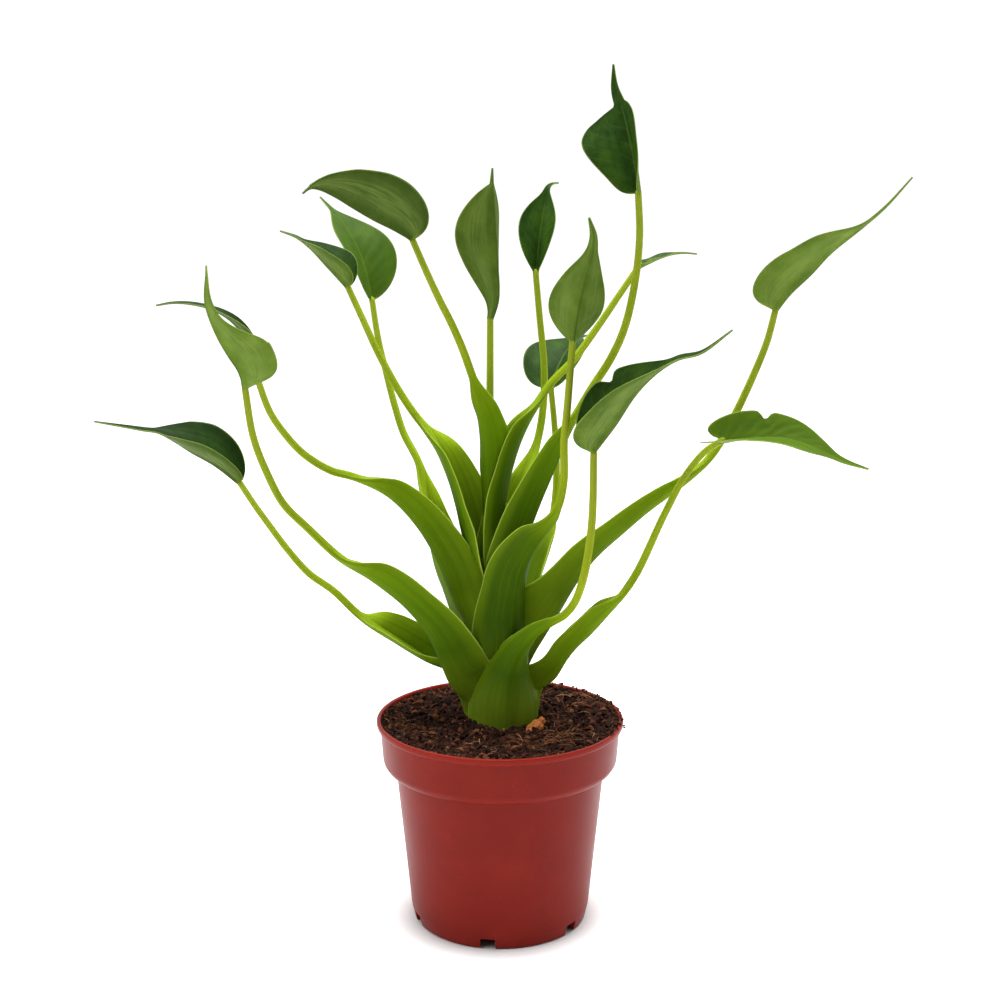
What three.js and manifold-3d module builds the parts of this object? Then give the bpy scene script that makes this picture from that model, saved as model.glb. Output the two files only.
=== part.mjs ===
// Potted tiny dancer alocasia: a nursery pot, its soil, the short stem and fifteen leaves.
// Millimetres, +Z up. The origin is the middle of the pot's foot, and -Y is the front.
// Angles around the plant are in degrees: 0 is +X, 90 is the back (+Y), 270 the front.

import * as THREE from 'three';
import { mergeVertices } from 'three/addons/utils/BufferGeometryUtils.js';
import Module from 'manifold-3d';

const wasm = await Module();
wasm.setup();

// Driving dimensions of the pot, a 12 cm nursery pot
const potHeight = 100.6;
const lipRadius = 60;
const collarRadius = 58.3;
const collarFoot = 79.5;
const footRadius = 42.5;
const wall = 1.3;
const floorRise = 3.2;
const padRadius = 12;
const notchCount = 6;
const notchWidth = 7;
const notchHeight = 5.2;
const notchStart = 262.2;
const potSides = 36;

// Driving dimensions of the soil
const soilTop = 97.2;
const soilRadius = 56.6;
const soilSides = 32;
const stemHoleFloor = 70;
const crownHoleFloor = 88;
const crownHoleRadius = 19.4;
const chipPlace = [20, -14.5];
const chipThickness = 2.4;
const chipBevel = 0.4;

// Driving dimensions of the plant
const clearance = 0.3;
const stemFoot = new THREE.Vector3(2.2, 3, 93);
const stemLean = -0.0915;
const stemTop = 185;
const firstLeafHeight = 93;
const leafSpacing = 4.6;
const firstSheathRadius = 17.6;
const sheathRadiusStep = 0.85;
const sheathWall = 0.9;
const facetSlack = 1.1;
const marginHalf = 0.32;
const bladeHalf = 0.35;

const degrees = THREE.MathUtils.degToRad;
const lerp = THREE.MathUtils.lerp;
const smoothstep = THREE.MathUtils.smoothstep;

// The leaves from the lowest, outermost one to the youngest.
// turn is the side that a leaf grows to, and route the keel of its stalk as [out from the
// stem, height, sideways]. The sheath is widest at its foot, clasps the stem by the angles in
// wrap, narrows by the power taper, is folded by the angle keel at its foot and has closed to
// a round petiole at sheathTop. sides scales its two edges.
// heading is the side that the blade leans to, and rib its midrib as [out, up, sideways] from
// the petiole's end. half is the width of one wing, fold how steeply the wings stand at the
// midrib and cup how much they curl on from there. tail is the share of the length that is the
// thin tip, roll turns the blade about its midrib, wings scales its two halves, peak is where
// it is widest, sharp how it runs out to the tip, lobe how far its base reaches back, and
// notch a bite in one edge as [wing, place, depth].
const leaves = [
  {
    number: 1, turn: 275, sheathTop: 168, widest: 32, wrap: [100, 66], taper: 0.66, sides: [1, 0.7],
    route: [[18, 108, 2], [19.5, 124, 5], [24, 137, 8.5], [30, 145, 12], [38, 151, 17], [50, 159, 26],
      [60, 168, 31.5], [65, 179, 35.5], [67.5, 194, 38.5], [68, 212, 41], [67, 240, 41]],
    heading: 335, half: 21, fold: 52, cup: 34, tail: 0.34, roll: 22, wings: [0.9, 0.96],
    lobe: 4, notch: [1, 0.52, 0.2],
    rib: [[9, 12], [19, 27], [29, 37], [37, 42], [47, 45], [60, 55]],
  },
  {
    number: 15, turn: 342, sheathTop: 170, widest: 26, wrap: [95, 62],
    route: [[19, 104], [25, 113], [37, 133], [48, 145], [58, 156], [67, 167], [74, 178],
      [86, 206], [95, 224], [104, 236], [111, 241]],
    heading: 345, half: 15, fold: 32, cup: 20, tail: 0.2, roll: 30, wings: [1.1, 0.8],
    lobe: 24, notch: [1, 0.38, 0.2],
    rib: [[14, 2], [30, 2], [43, -2], [54, -7], [65, -10]],
  },
  {
    number: 2, turn: 208, sheathTop: 186, widest: 27, wrap: [50, 55], keel: 50, sides: [0.55, 1],
    route: [[19, 101], [23, 111], [26, 120], [30, 132], [36, 147], [48, 162], [62, 175], [75, 185], [91, 202],
      [102, 215], [109, 229], [115, 246], [118, 267]],
    heading: 205, half: 24, fold: 40, cup: 40, tail: 0.4, roll: 0,
    rib: [[4, 9], [8, 17], [12, 25], [16, 33], [19, 39], [17.5, 45], [16, 54]],
  },
  {
    number: 3, turn: 176, sheathTop: 149, widest: 24, wrap: [70, 60], keel: 30,
    route: [[17, 109], [23, 116], [34, 126], [47, 135], [66, 147], [79, 161], [88, 169], [97, 181],
      [105, 193], [112, 203], [119, 214]],
    heading: 176, half: 18, fold: 46, cup: 38, tail: 0.36, roll: -12, peak: 0.52,
    rib: [[12, 9], [23, 15], [31, 20], [39, 24], [46, 25], [58, 27], [70, 29]],
  },
  {
    number: 9, turn: 65, sheathTop: 186, widest: 25, wrap: [92, 60],
    route: [[17, 117], [24, 129], [38, 145], [53, 158], [67, 169], [78, 181], [84, 196], [85, 212],
      [82, 232], [77, 252]],
    heading: 62, half: 15, fold: 20, cup: 25, tail: 0.24, roll: 0, wings: [1, 1.25], lobe: 4,
    rib: [[7, 9], [17, 17], [28, 22], [40, 24], [50, 24]],
  },
  {
    number: 12, turn: 135, sheathTop: 219, widest: 25, wrap: [92, 60],
    route: [[15, 121], [20, 133], [28, 148], [37, 167], [43, 190], [50, 218], [62, 233], [68, 246],
      [74, 264], [79, 280], [82, 298]],
    heading: 140, half: 19.5, fold: 14, cup: 24, tail: 0.14, roll: 0, lobe: 2,
    rib: [[4, 14], [10, 26], [20, 38], [36, 51]],
  },
  {
    number: 5, turn: 300, sheathTop: 214, widest: 24, wrap: [90, 56],
    route: [[13.5, 128], [17, 141], [23, 160], [31, 178], [42, 192], [54, 204], [64, 216], [68, 228],
      [68, 245], [70, 257], [72, 272], [74, 288]],
    heading: 300, half: 12.5, fold: 20, cup: 22, tail: 0.22, roll: -20, peak: 0.33, lobe: 2,
    rib: [[2, 12, 1], [4, 25, 3], [6, 36, 5], [7, 44, 6], [8, 50, 5]],
  },
  {
    number: 14, turn: 350, sheathTop: 234, widest: 24, wrap: [90, 60], sides: [1, 0.8],
    route: [[14, 131], [20, 141], [30, 152], [41, 167], [50, 180], [61, 191], [75, 204], [92, 217],
      [103, 227], [110, 238], [116, 252], [124, 271], [129, 285], [132, 298]],
    heading: 350, half: 19.5, fold: 48, cup: 26, tail: 0.3, roll: -4, lobe: 4,
    rib: [[6, 8], [15, 17], [23, 26], [36, 37], [46, 46], [57, 59]],
  },
  {
    number: 4, turn: 190, sheathTop: 222, widest: 23, wrap: [90, 60],
    route: [[12, 137], [14.5, 147], [19, 158], [25, 176], [32, 191], [41, 203], [50, 212], [64, 220],
      [74, 224], [86, 232], [94, 241], [101, 252], [107, 270]],
    heading: 190, half: 9, fold: 30, cup: 24, tail: 0.3, roll: -12, wings: [0.4, 1],
    rib: [[2, 13], [8, 22], [16, 28], [25, 31], [35, 32], [43, 31]],
  },
  {
    number: 10, turn: 45, sheathTop: 232, widest: 20, wrap: [88, 58],
    route: [[11, 140], [13, 165], [17, 192], [23, 208], [30, 222], [36, 236], [39, 252], [39, 270],
      [36, 291], [33, 313]],
    heading: 65, half: 11.5, fold: 30, cup: 34, tail: 0.16, roll: 10, wings: [0.75, 1],
    peak: 0.45, lobe: 1,
    rib: [[3, 12], [7, 24], [11, 34], [15, 40], [20, 42]],
  },
  {
    number: 13, turn: 168, sheathTop: 246, widest: 22, wrap: [88, 58],
    route: [[9, 150], [10, 178], [14, 197], [19, 214], [25, 229], [31, 239], [36, 246], [43, 258],
      [53, 277], [60, 292], [67, 307]],
    heading: 168, half: 13, fold: 46, cup: 34, tail: 0.24, roll: -4, peak: 0.42, lobe: 3,
    rib: [[4, 4], [10, 10], [18, 18], [25, 23], [33, 26]],
  },
  {
    number: 6, turn: 325, sheathTop: 256, widest: 22, wrap: [88, 56],
    route: [[11, 155], [14, 178], [18, 197], [25, 214], [33, 231], [42, 246], [50, 256], [58, 266],
      [67, 278], [74, 292], [79, 312], [81, 332], [80, 350]],
    heading: 45, half: 22, fold: 36, cup: 26, tail: 0.3, roll: 0, wings: [0.45, 1], peak: 0.6,
    rib: [[-1, 11, 1], [-2, 22, 3], [-2, 34, 7], [-3, 46, 12], [-3, 58, 14]],
  },
  {
    number: 11, turn: 85, sheathTop: 214, widest: 15, wrap: [84, 56],
    route: [[8, 165], [10, 190], [12, 214], [14, 235], [16, 255], [17, 274], [18, 291]],
    heading: 315, half: 19, fold: 42, cup: 30, tail: 0.12, roll: 0, wings: [1, 0.4], peak: 0.62, sharp: 0.9,
    rib: [[2, 10, 2.5], [2, 30, 2], [1.5, 48, 1], [0, 62, 0.5], [-1, 71, 0]],
  },
  {
    number: 8, turn: 8, sheathTop: 252, widest: 16, wrap: [84, 56],
    route: [[7, 178], [9, 205], [12.5, 221], [17, 235], [24, 248], [32, 262], [42, 274], [52, 288],
      [62, 303], [69, 313]],
    heading: 10, half: 6.5, fold: 6, cup: 14, tail: 0.3, roll: 2, lobe: 2,
    rib: [[5, 4], [11, 7], [18, 9], [24, 9.5], [31, 9]],
  },
  {
    number: 7, turn: 215, sheathTop: 268, widest: 17, wrap: [84, 56],
    route: [[6, 180], [6, 205], [6, 230], [6.5, 250], [8, 267], [13, 279], [19, 291], [26, 303],
      [33, 316], [40, 330]],
    heading: 205, half: 28, fold: 56, cup: 16, tail: 0.06, roll: 2, peak: 0.56, sharp: 0.45, lobe: 9,
    rib: [[9, 5], [18, 9], [27, 13], [36, 17], [45, 20], [52, 19]],
  },
];

// The middle of the leaning stem at a height; above the stem's tip it stays where it is
function stemCentre(height) {
  const rise = THREE.MathUtils.clamp(height, stemFoot.z, stemTop) - stemFoot.z;
  return new THREE.Vector3(stemFoot.x + stemLean * rise, stemFoot.y, height);
}

function direction(angle) {
  return new THREE.Vector3(Math.cos(degrees(angle)), Math.sin(degrees(angle)), 0);
}

// Where a leaf is set on the stem, and how far out its sheath lies there
leaves.forEach((leaf, order) => {
  leaf.footHeight = firstLeafHeight + leafSpacing * order;
  leaf.footRadius = firstSheathRadius - sheathRadiusStep * order;
});

// Closed body of a thin skin: rows of points, each with its normal and half thickness.
// Points that fall together are joined, and faces without area are left out.
function skinGeometry(rows) {
  const corners = [];
  const indexOf = new Map();
  const corner = (place) => {
    const key = [place.x, place.y, place.z].map((value) => Math.round(value * 1000)).join(' ');
    if (!indexOf.has(key)) {
      indexOf.set(key, corners.length / 3);
      corners.push(place.x, place.y, place.z);
    }
    return indexOf.get(key);
  };
  const side = (sign) => rows.map((row) => row.map((spot) => corner(spot.point.clone()
    .addScaledVector(spot.normal, sign * spot.half - (sign < 0 ? spot.below ?? 0 : 0)))));
  const under = side(-1);
  const upper = side(1);
  const faces = [];
  const triangle = (a, b, c) => {
    if (a !== b && b !== c && c !== a) {
      faces.push(a, b, c);
    }
  };
  const quad = (a, b, c, d) => {
    triangle(a, b, c);
    triangle(a, c, d);
  };
  const lastRow = rows.length - 1;
  const lastColumn = rows[0].length - 1;
  for (let i = 0; i < lastRow; i += 1) {
    for (let j = 0; j < lastColumn; j += 1) {
      quad(upper[i][j], upper[i + 1][j], upper[i + 1][j + 1], upper[i][j + 1]);
      triangle(under[i][j], under[i + 1][j + 1], under[i + 1][j]);
      triangle(under[i][j], under[i][j + 1], under[i + 1][j + 1]);
    }
    quad(under[i][0], under[i + 1][0], upper[i + 1][0], upper[i][0]);
    quad(upper[i][lastColumn], upper[i + 1][lastColumn], under[i + 1][lastColumn], under[i][lastColumn]);
  }
  for (let j = 0; j < lastColumn; j += 1) {
    quad(under[0][j], upper[0][j], upper[0][j + 1], under[0][j + 1]);
    quad(upper[lastRow][j], under[lastRow][j], under[lastRow][j + 1], upper[lastRow][j + 1]);
  }
  return facesOut(corners, faces);
}

// A geometry from corners and triangles, turned so that its faces point out
function facesOut(corners, faces) {
  const at = (index) => new THREE.Vector3().fromArray(corners, 3 * index);
  let volume = 0;
  for (let k = 0; k < faces.length; k += 3) {
    volume += at(faces[k]).dot(at(faces[k + 1]).cross(at(faces[k + 2])));
  }
  const turned = volume < 0 ? faces.slice().reverse() : faces;
  const geometry = new THREE.BufferGeometry();
  geometry.setAttribute('position', new THREE.Float32BufferAttribute(corners, 3));
  geometry.setIndex(turned);
  return geometry;
}

function toSolid(geometry) {
  const bare = geometry.clone();
  bare.deleteAttribute('normal');
  bare.deleteAttribute('uv');
  const merged = mergeVertices(bare, 0.0005);
  const mesh = new wasm.Mesh({
    numProp: 3,
    vertProperties: new Float32Array(merged.attributes.position.array),
    triVerts: new Uint32Array(merged.index.array),
  });
  return new wasm.Manifold(mesh);
}

function toGeometry(solid) {
  const mesh = solid.getMesh();
  const geometry = new THREE.BufferGeometry();
  const corners = new Float32Array(mesh.vertProperties);
  geometry.setAttribute('position', new THREE.BufferAttribute(corners, 3));
  geometry.setIndex(new THREE.BufferAttribute(new Uint32Array(mesh.triVerts), 1));
  return geometry;
}

// A solid without what its neighbours need; only its largest body stays
function trimmed(solid, neighbours) {
  let rest = solid;
  neighbours.forEach((neighbour) => {
    rest = rest.subtract(neighbour);
  });
  const bodies = rest.decompose();
  return bodies.reduce((best, body) => (body.volume() > best.volume() ? body : best));
}

// Point of an arched cross-section: u runs over it from -1 to 1, arc is its half length,
// fold the slope at its middle and bend how far it curls on towards each edge, in radians
function archedPoint(u, arc, fold, bend) {
  const reach = Math.abs(u) * arc;
  const turn = Math.max(bend, 0.001);
  const angle = fold + turn * Math.abs(u);
  const across = (arc / turn) * (Math.sin(angle) - Math.sin(fold));
  const up = (arc / turn) * (Math.cos(fold) - Math.cos(angle));
  return { across: Math.sign(u) * (reach > 0 ? across : 0), up, angle: Math.sign(u) * angle };
}

// Frame at a share of a curve's length: along it, up into the leaf's open side, and across
function frameAt(curve, share, acrossGuide, roll) {
  const along = curve.getTangentAt(share);
  const up = along.clone().cross(acrossGuide).normalize();
  const across = up.clone().cross(along);
  up.applyAxisAngle(along, degrees(roll));
  across.applyAxisAngle(along, degrees(roll));
  return { along, up, across };
}

function smoothCurve(points) {
  return new THREE.CatmullRomCurve3(points, false, 'centripetal');
}

function shareAtHeight(curve, height) {
  const steps = 200;
  for (let k = 0; k <= steps; k += 1) {
    if (curve.getPointAt(k / steps).z >= height) {
      return k / steps;
    }
  }
  return 1;
}

// Angles round a stalk's section: from edge to edge of the sheath, half the petiole's ring
const stalkAngles = [-75, -45, -15, 15, 45, 75];
const stalkEdge = Math.sin(degrees(75));
const lastAngle = stalkAngles.length - 1;
const sheathRows = [0, 0.06, 0.14, 0.24, 0.36, 0.5, 0.64, 0.78, 0.9, 1];
const petioleSteps = 6;
const petioleFoot = 1.9;
const petioleTip = 1.45;
const usualCrease = 22;
const coverDepth = 7;
const coverFades = 0.3;
const coverEnds = 0.62;

function stalkCurve(leaf) {
  const outward = direction(leaf.turn);
  const sideways = direction(leaf.turn + 90);
  const stations = [[leaf.footRadius, leaf.footHeight], ...leaf.route];
  return smoothCurve(stations.map(([out, height, aside = 0]) => stemCentre(height)
    .addScaledVector(outward, out).addScaledVector(sideways, aside)));
}

// Sheath and petiole of a leaf in one skin. grow widens it on all sides, and cover fills the
// room outside its sheath, where no inner leaf may come out.
function stalkGeometry(leaf, grow = 0, cover = 0) {
  const curve = stalkCurve(leaf);
  const sheathEnd = shareAtHeight(curve, leaf.sheathTop);
  const stations = sheathRows.map((row) => ({ share: row * sheathEnd, sheath: row }));
  for (let k = 1; k <= petioleSteps; k += 1) {
    stations.push({ share: lerp(sheathEnd, 1, k / petioleSteps), sheath: 1 + k / petioleSteps });
  }
  const guide = direction(leaf.turn + 90);
  const rows = stations.map(({ share: place, sheath }, row) => {
    const { along, up, across } = frameAt(curve, place, guide, 0);
    const t = Math.min(sheath, 1);
    const round = lerp(petioleFoot, petioleTip, Math.max(sheath - 1, 0));
    const arc = lerp(leaf.widest, round, Math.pow(t, leaf.taper ?? 1.7)) + grow;
    const open = degrees(lerp(leaf.wrap[0], leaf.wrap[1], Math.min(t / 0.6, 1)));
    const closing = 1 - smoothstep(t, 0.8, 1);
    const deep = cover * (1 - smoothstep(t, coverFades, coverEnds));
    const bend = open * closing;
    const crease = degrees(lerp(leaf.keel ?? 0, usualCrease, Math.min(t / 0.5, 1))) * closing;
    const thick = lerp(sheathWall, round, Math.pow(t, 2)) + grow;
    const centre = curve.getPointAt(place);
    const end = (row === stations.length - 1 ? grow : 0) - (row === 0 ? grow : 0);
    centre.addScaledVector(along, end);
    return stalkAngles.map((angle, column) => {
      const even = (2 * column) / lastAngle - 1;
      const u = lerp(even, Math.sin(degrees(angle)) / stalkEdge, t * t);
      const share = leaf.sides ? leaf.sides[u < 0 ? 0 : 1] : 1;
      const side = lerp(1, share, closing);
      const below = share < 1 ? deep * (1 - Math.abs(u)) : deep;
      const spot = archedPoint(u, arc * stalkEdge * side, crease, bend * side);
      const point = centre.clone().addScaledVector(across, spot.across).addScaledVector(up, spot.up);
      const normal = up.clone().multiplyScalar(Math.cos(spot.angle))
        .addScaledVector(across, -Math.sin(spot.angle));
      const half = Math.max(thick * Math.cos(degrees(angle)), marginHalf + grow);
      return { point, normal, half, below };
    });
  });
  return skinGeometry(rows);
}

// Outline of a blade: half width as a share of the widest place, which lies at peak
function bladeOutline(v, peak, sharpness) {
  const swell = Math.sin(Math.PI * Math.pow(v, Math.log(0.5) / Math.log(peak)));
  return Math.pow(Math.max(swell, 0), lerp(baseRoundness, sharpness, v));
}

const bladeColumns = [-1, -0.68, -0.34, 0, 0.34, 0.68, 1];
const bladeRows = [0, 0.06, 0.15, 0.27, 0.4, 0.54, 0.68, 0.82, 0.93];
const tailRows = [0, 0.45, 1];
const tailHalfWidth = 0.9;
const tipHalfWidth = 0.45;
const ribHalf = 0.9;
const waveHeight = 0.9;
const notchLength = 0.05;
const baseRoundness = 0.6;
const usualSharpness = 1.2;
const usualPeak = 0.36;
const usualLobe = 6;

function bladeCurve(leaf, start) {
  const outward = direction(leaf.heading);
  const sideways = direction(leaf.heading + 90);
  const rib = [[0, 0, 0], ...leaf.rib];
  return smoothCurve(rib.map(([out, up, aside = 0]) => start.clone().addScaledVector(outward, out)
    .addScaledVector(sideways, aside).add(new THREE.Vector3(0, 0, up))));
}

// A folded, cupped blade with a round base and a drawn-out tip, as one thin skin
function bladeGeometry(leaf, grow = 0) {
  const stalk = stalkCurve(leaf);
  const start = stalk.getPointAt(1).addScaledVector(stalk.getTangentAt(1), clearance);
  const curve = bladeCurve(leaf, start);
  const body = 1 - leaf.tail;
  const stations = bladeRows.map((v) => ({ share: v * body, v }));
  tailRows.forEach((t) => {
    stations.push({ share: lerp(body, 1, t), v: 1, tail: t });
  });
  const guide = direction(leaf.heading + 90);
  const rows = stations.map(({ share, v, tail }) => {
    const { along, up, across } = frameAt(curve, share, guide, leaf.roll);
    const centre = curve.getPointAt(share);
    const open = 1 - 0.7 * v;
    return bladeColumns.map((column) => {
      const u = tail === undefined ? column : Math.sign(column);
      const width = bladeOutline(v, leaf.peak ?? usualPeak, leaf.sharp ?? usualSharpness);
      const wing = leaf.wings ? leaf.wings[u < 0 ? 0 : 1] : 1;
      let arc = leaf.half * width * wing;
      if (leaf.notch && Math.sign(u) === leaf.notch[0]) {
        arc *= 1 - leaf.notch[2] * Math.exp(-(((v - leaf.notch[1]) / notchLength) ** 2));
      }
      arc = tail === undefined ? Math.max(arc, tailHalfWidth) : lerp(tailHalfWidth, tipHalfWidth, tail);
      const bend = degrees(leaf.cup) * open;
      const spot = archedPoint(u, arc + grow, degrees(leaf.fold) * open, bend);
      const back = (leaf.lobe ?? usualLobe) * wing * width * u * u * Math.pow(1 - v, 4);
      const wave = waveHeight * u * u * Math.sin(9 * v + 2.4 * leaf.number + u) * (1 - v);
      const point = centre.clone().addScaledVector(across, spot.across)
        .addScaledVector(up, spot.up + wave).addScaledVector(along, -back);
      const normal = up.clone().multiplyScalar(Math.cos(spot.angle))
        .addScaledVector(across, -Math.sin(spot.angle));
      const rib = column === 0 ? ribHalf * Math.pow(1 - share, 2) : 0;
      return { point, normal, half: bladeHalf + rib + grow };
    });
  });
  return skinGeometry(rows);
}

function turnedProfile(points, segments) {
  const geometry = new THREE.LatheGeometry(points.map(([r, z]) => new THREE.Vector2(r, z)), segments);
  return geometry.rotateX(Math.PI / 2);
}

// The pot's wall outside, from the foot up to the lip
const potOutside = [
  [footRadius, 0], [43.9, 6], [51.2, collarFoot], [55.8, collarFoot], [57, collarFoot + 1.6],
  [collarRadius, potHeight - 3.6], [lipRadius, potHeight - 2.6], [lipRadius, potHeight - 0.8],
  [lipRadius - 0.8, potHeight],
];
// The pot's wall inside, from the lip down to the floor
const potInside = [
  [lipRadius - 2, potHeight - 0.4], [collarRadius - wall, potHeight - 3.6],
  [55.7, collarFoot + wall + 0.8], [50, collarFoot + wall], [42.5, 6], [41.8, floorRise + wall],
];

function potGeometry() {
  const profile = [
    [0, 0], [padRadius, 0], [padRadius + 2, floorRise], [footRadius - 1.8, floorRise],
    [footRadius - 1.5, 0], ...potOutside, ...potInside,
    [padRadius + 1.4, floorRise + wall], [padRadius - 0.8, wall], [0, wall],
  ];
  let solid = toSolid(turnedProfile(profile, potSides));
  for (let k = 0; k < notchCount; k += 1) {
    const angle = degrees(notchStart + (360 / notchCount) * k);
    const notch = new THREE.BoxGeometry(10, notchWidth, 2 * notchHeight);
    notch.translate(footRadius - 1, 0, 0);
    notch.rotateZ(angle);
    solid = solid.subtract(toSolid(notch));
  }
  return toGeometry(solid);
}

// Height of the soil over its even level: lumps, a heap at the back right, and a flat spot
// where the bark chip lies
function soilLump(x, y) {
  const lumps = Math.sin(0.31 * x + 1.1) * Math.cos(0.27 * y - 0.4) + 0.6 * Math.sin(0.47 * x - 0.39 * y);
  const heap = Math.exp(-(((x - 42) / 20) ** 2) - (((y - 18) / 26) ** 2));
  const flat = smoothstep(Math.hypot(x - chipPlace[0], y - chipPlace[1]), 9, 14);
  return (0.8 * lumps + 3 * heap) * flat;
}

const stemRadiusAt = (height) => {
  const order = (height - firstLeafHeight) / leafSpacing;
  return firstSheathRadius - sheathRadiusStep * order - sheathWall - clearance - facetSlack;
};
const stemTip = 172;

function soilGeometry() {
  const holeRadius = stemRadiusAt(firstLeafHeight) + clearance;
  const inside = potInside.filter(([, z]) => z < soilTop - 8).map(([r, z]) => [r - clearance, z]);
  inside[inside.length - 1][1] += clearance;
  const profile = [
    [0, stemHoleFloor], [holeRadius, stemHoleFloor], [holeRadius, crownHoleFloor],
    [crownHoleRadius, crownHoleFloor], [crownHoleRadius, soilTop], [29, soilTop], [38, soilTop],
    [47, soilTop], [soilRadius - 2.2, soilTop], [soilRadius, soilTop - 1.4], ...inside,
    [padRadius + 1.2, floorRise + wall + clearance], [padRadius - 1, wall + clearance],
    [0, wall + clearance],
  ];
  const geometry = turnedProfile(profile.reverse(), soilSides);
  const place = geometry.attributes.position;
  for (let k = 0; k < place.count; k += 1) {
    const x = place.getX(k);
    const y = place.getY(k);
    const fromStem = Math.hypot(x, y) < crownHoleRadius + 0.5;
    const centred = Math.hypot(x, y) > 0.01 && Math.hypot(x, y) < crownHoleRadius + 0.5;
    if (place.getZ(k) > soilTop - 2) {
      place.setZ(k, place.getZ(k) + (fromStem ? 0 : soilLump(x, y)));
    }
    if (centred && place.getZ(k) > stemHoleFloor - 1) {
      place.setX(k, x + stemFoot.x);
      place.setY(k, y + stemFoot.y);
    }
  }
  return toGeometry(toSolid(geometry));
}

// The stem's core, a leaning cone with rings where the profile changes
function stemGeometry(grow = 0) {
  const foot = stemHoleFloor + clearance - grow;
  const wide = stemRadiusAt(firstLeafHeight);
  const profile = [
    [0, foot], [wide + grow, foot], [wide + grow, firstLeafHeight],
    [stemRadiusAt(132) + grow, 132], [stemRadiusAt(stemTip) + grow, stemTip + grow], [0, stemTip + grow],
  ];
  const geometry = turnedProfile(profile, 16);
  const place = geometry.attributes.position;
  for (let k = 0; k < place.count; k += 1) {
    const centre = stemCentre(place.getZ(k));
    place.setXY(k, place.getX(k) + centre.x, place.getY(k) + centre.y);
  }
  return geometry;
}

// A flat bark chip that lies on the soil in front of the stem
function chipGeometry() {
  const outline = new THREE.Shape([
    [-5, -1.2], [-2.2, -2.4], [3.6, -1.9], [5.2, 0.3], [2.4, 2.1], [-3.4, 1.7],
  ].map(([x, y]) => new THREE.Vector2(x, y)));
  const geometry = new THREE.ExtrudeGeometry(outline, {
    depth: chipThickness - 2 * chipBevel, bevelSize: chipBevel, bevelThickness: chipBevel, bevelSegments: 1,
  });
  geometry.rotateZ(degrees(38));
  return geometry.translate(...chipPlace, soilTop + clearance + chipBevel);
}

const plastic = new THREE.MeshStandardMaterial({ color: 0xa83a2a, roughness: 0.42, metalness: 0 });
const soilStuff = new THREE.MeshStandardMaterial({ color: 0x3a2217, roughness: 1, metalness: 0 });
const stemGreen = new THREE.MeshStandardMaterial({ color: 0x55751a, roughness: 0.6, metalness: 0 });
const stalkGreen = new THREE.MeshStandardMaterial({ color: 0x6f9a14, roughness: 0.5, metalness: 0 });
const bladeGreen = new THREE.MeshStandardMaterial({ color: 0x2f5a22, roughness: 0.4, metalness: 0 });
const bark = new THREE.MeshStandardMaterial({ color: 0xa5602c, roughness: 0.9, metalness: 0 });

const plant = new THREE.Group();

function addPiece(name, geometry, material) {
  const mesh = new THREE.Mesh(geometry, material);
  mesh.name = name;
  plant.add(mesh);
}

addPiece('pot', potGeometry(), plastic);
addPiece('soil', soilGeometry(), soilStuff);
addPiece('stem', toGeometry(toSolid(stemGeometry())), stemGreen);
addPiece('bark_chip', chipGeometry(), bark);

// Outer sheaths clasp inner ones: each stalk keeps clear of the stem and of those before it
const taken = [toSolid(stemGeometry(clearance))];
leaves.forEach((leaf) => {
  const label = String(leaf.number).padStart(2, '0');
  const stalk = trimmed(toSolid(stalkGeometry(leaf)), taken);
  addPiece(`leaf_${label}_stalk`, toGeometry(stalk), stalkGreen);
  const ownStalk = toSolid(stalkGeometry(leaf, clearance * 0.9));
  const blade = trimmed(toSolid(bladeGeometry(leaf)), [ownStalk]);
  addPiece(`leaf_${label}_blade`, toGeometry(blade), bladeGreen);
  taken.push(toSolid(stalkGeometry(leaf, clearance, coverDepth)), stalk);
});

export default plant;
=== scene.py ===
# %% [markdown]
# # A potted tiny dancer alocasia
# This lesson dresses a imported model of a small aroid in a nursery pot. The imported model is
# loaded first and stays as it is: it gives the places, and finer pieces stand for its parts.

import math
import random

import bpy
import numpy as np
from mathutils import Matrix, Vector, noise
from mathutils.bvhtree import BVHTree


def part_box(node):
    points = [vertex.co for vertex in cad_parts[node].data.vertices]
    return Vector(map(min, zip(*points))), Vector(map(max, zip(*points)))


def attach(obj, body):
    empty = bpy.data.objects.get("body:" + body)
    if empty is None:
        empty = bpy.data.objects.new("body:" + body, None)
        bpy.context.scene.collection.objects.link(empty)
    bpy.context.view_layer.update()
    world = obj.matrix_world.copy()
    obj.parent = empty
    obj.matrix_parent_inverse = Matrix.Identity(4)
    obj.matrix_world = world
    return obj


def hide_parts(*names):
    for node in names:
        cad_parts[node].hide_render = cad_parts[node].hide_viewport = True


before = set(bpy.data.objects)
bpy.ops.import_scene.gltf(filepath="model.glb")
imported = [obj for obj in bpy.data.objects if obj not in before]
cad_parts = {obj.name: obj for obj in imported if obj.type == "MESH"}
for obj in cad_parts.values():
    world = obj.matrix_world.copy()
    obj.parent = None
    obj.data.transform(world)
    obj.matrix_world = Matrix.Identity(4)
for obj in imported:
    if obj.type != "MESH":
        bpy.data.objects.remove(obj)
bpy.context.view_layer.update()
mm = 0.001

# %% [markdown]
# ## Helpers for nodes
# The light of the world and every material are small trees of nodes. These helpers keep each
# recipe short: a value that comes out of another node is linked, any other is simply set.

# %% Adding a node
def feed(tree, node, values):
    for name, value in values.items():
        socket = node.inputs[name]
        if isinstance(value, bpy.types.NodeSocket):
            tree.links.new(value, socket)
        else:
            socket.default_value = value


def add_node(tree, kind, settings=None, values=None):
    node = tree.nodes.new("ShaderNode" + kind)
    for name, value in (settings or {}).items():
        setattr(node, name, value)
    feed(tree, node, values or {})
    return node


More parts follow.
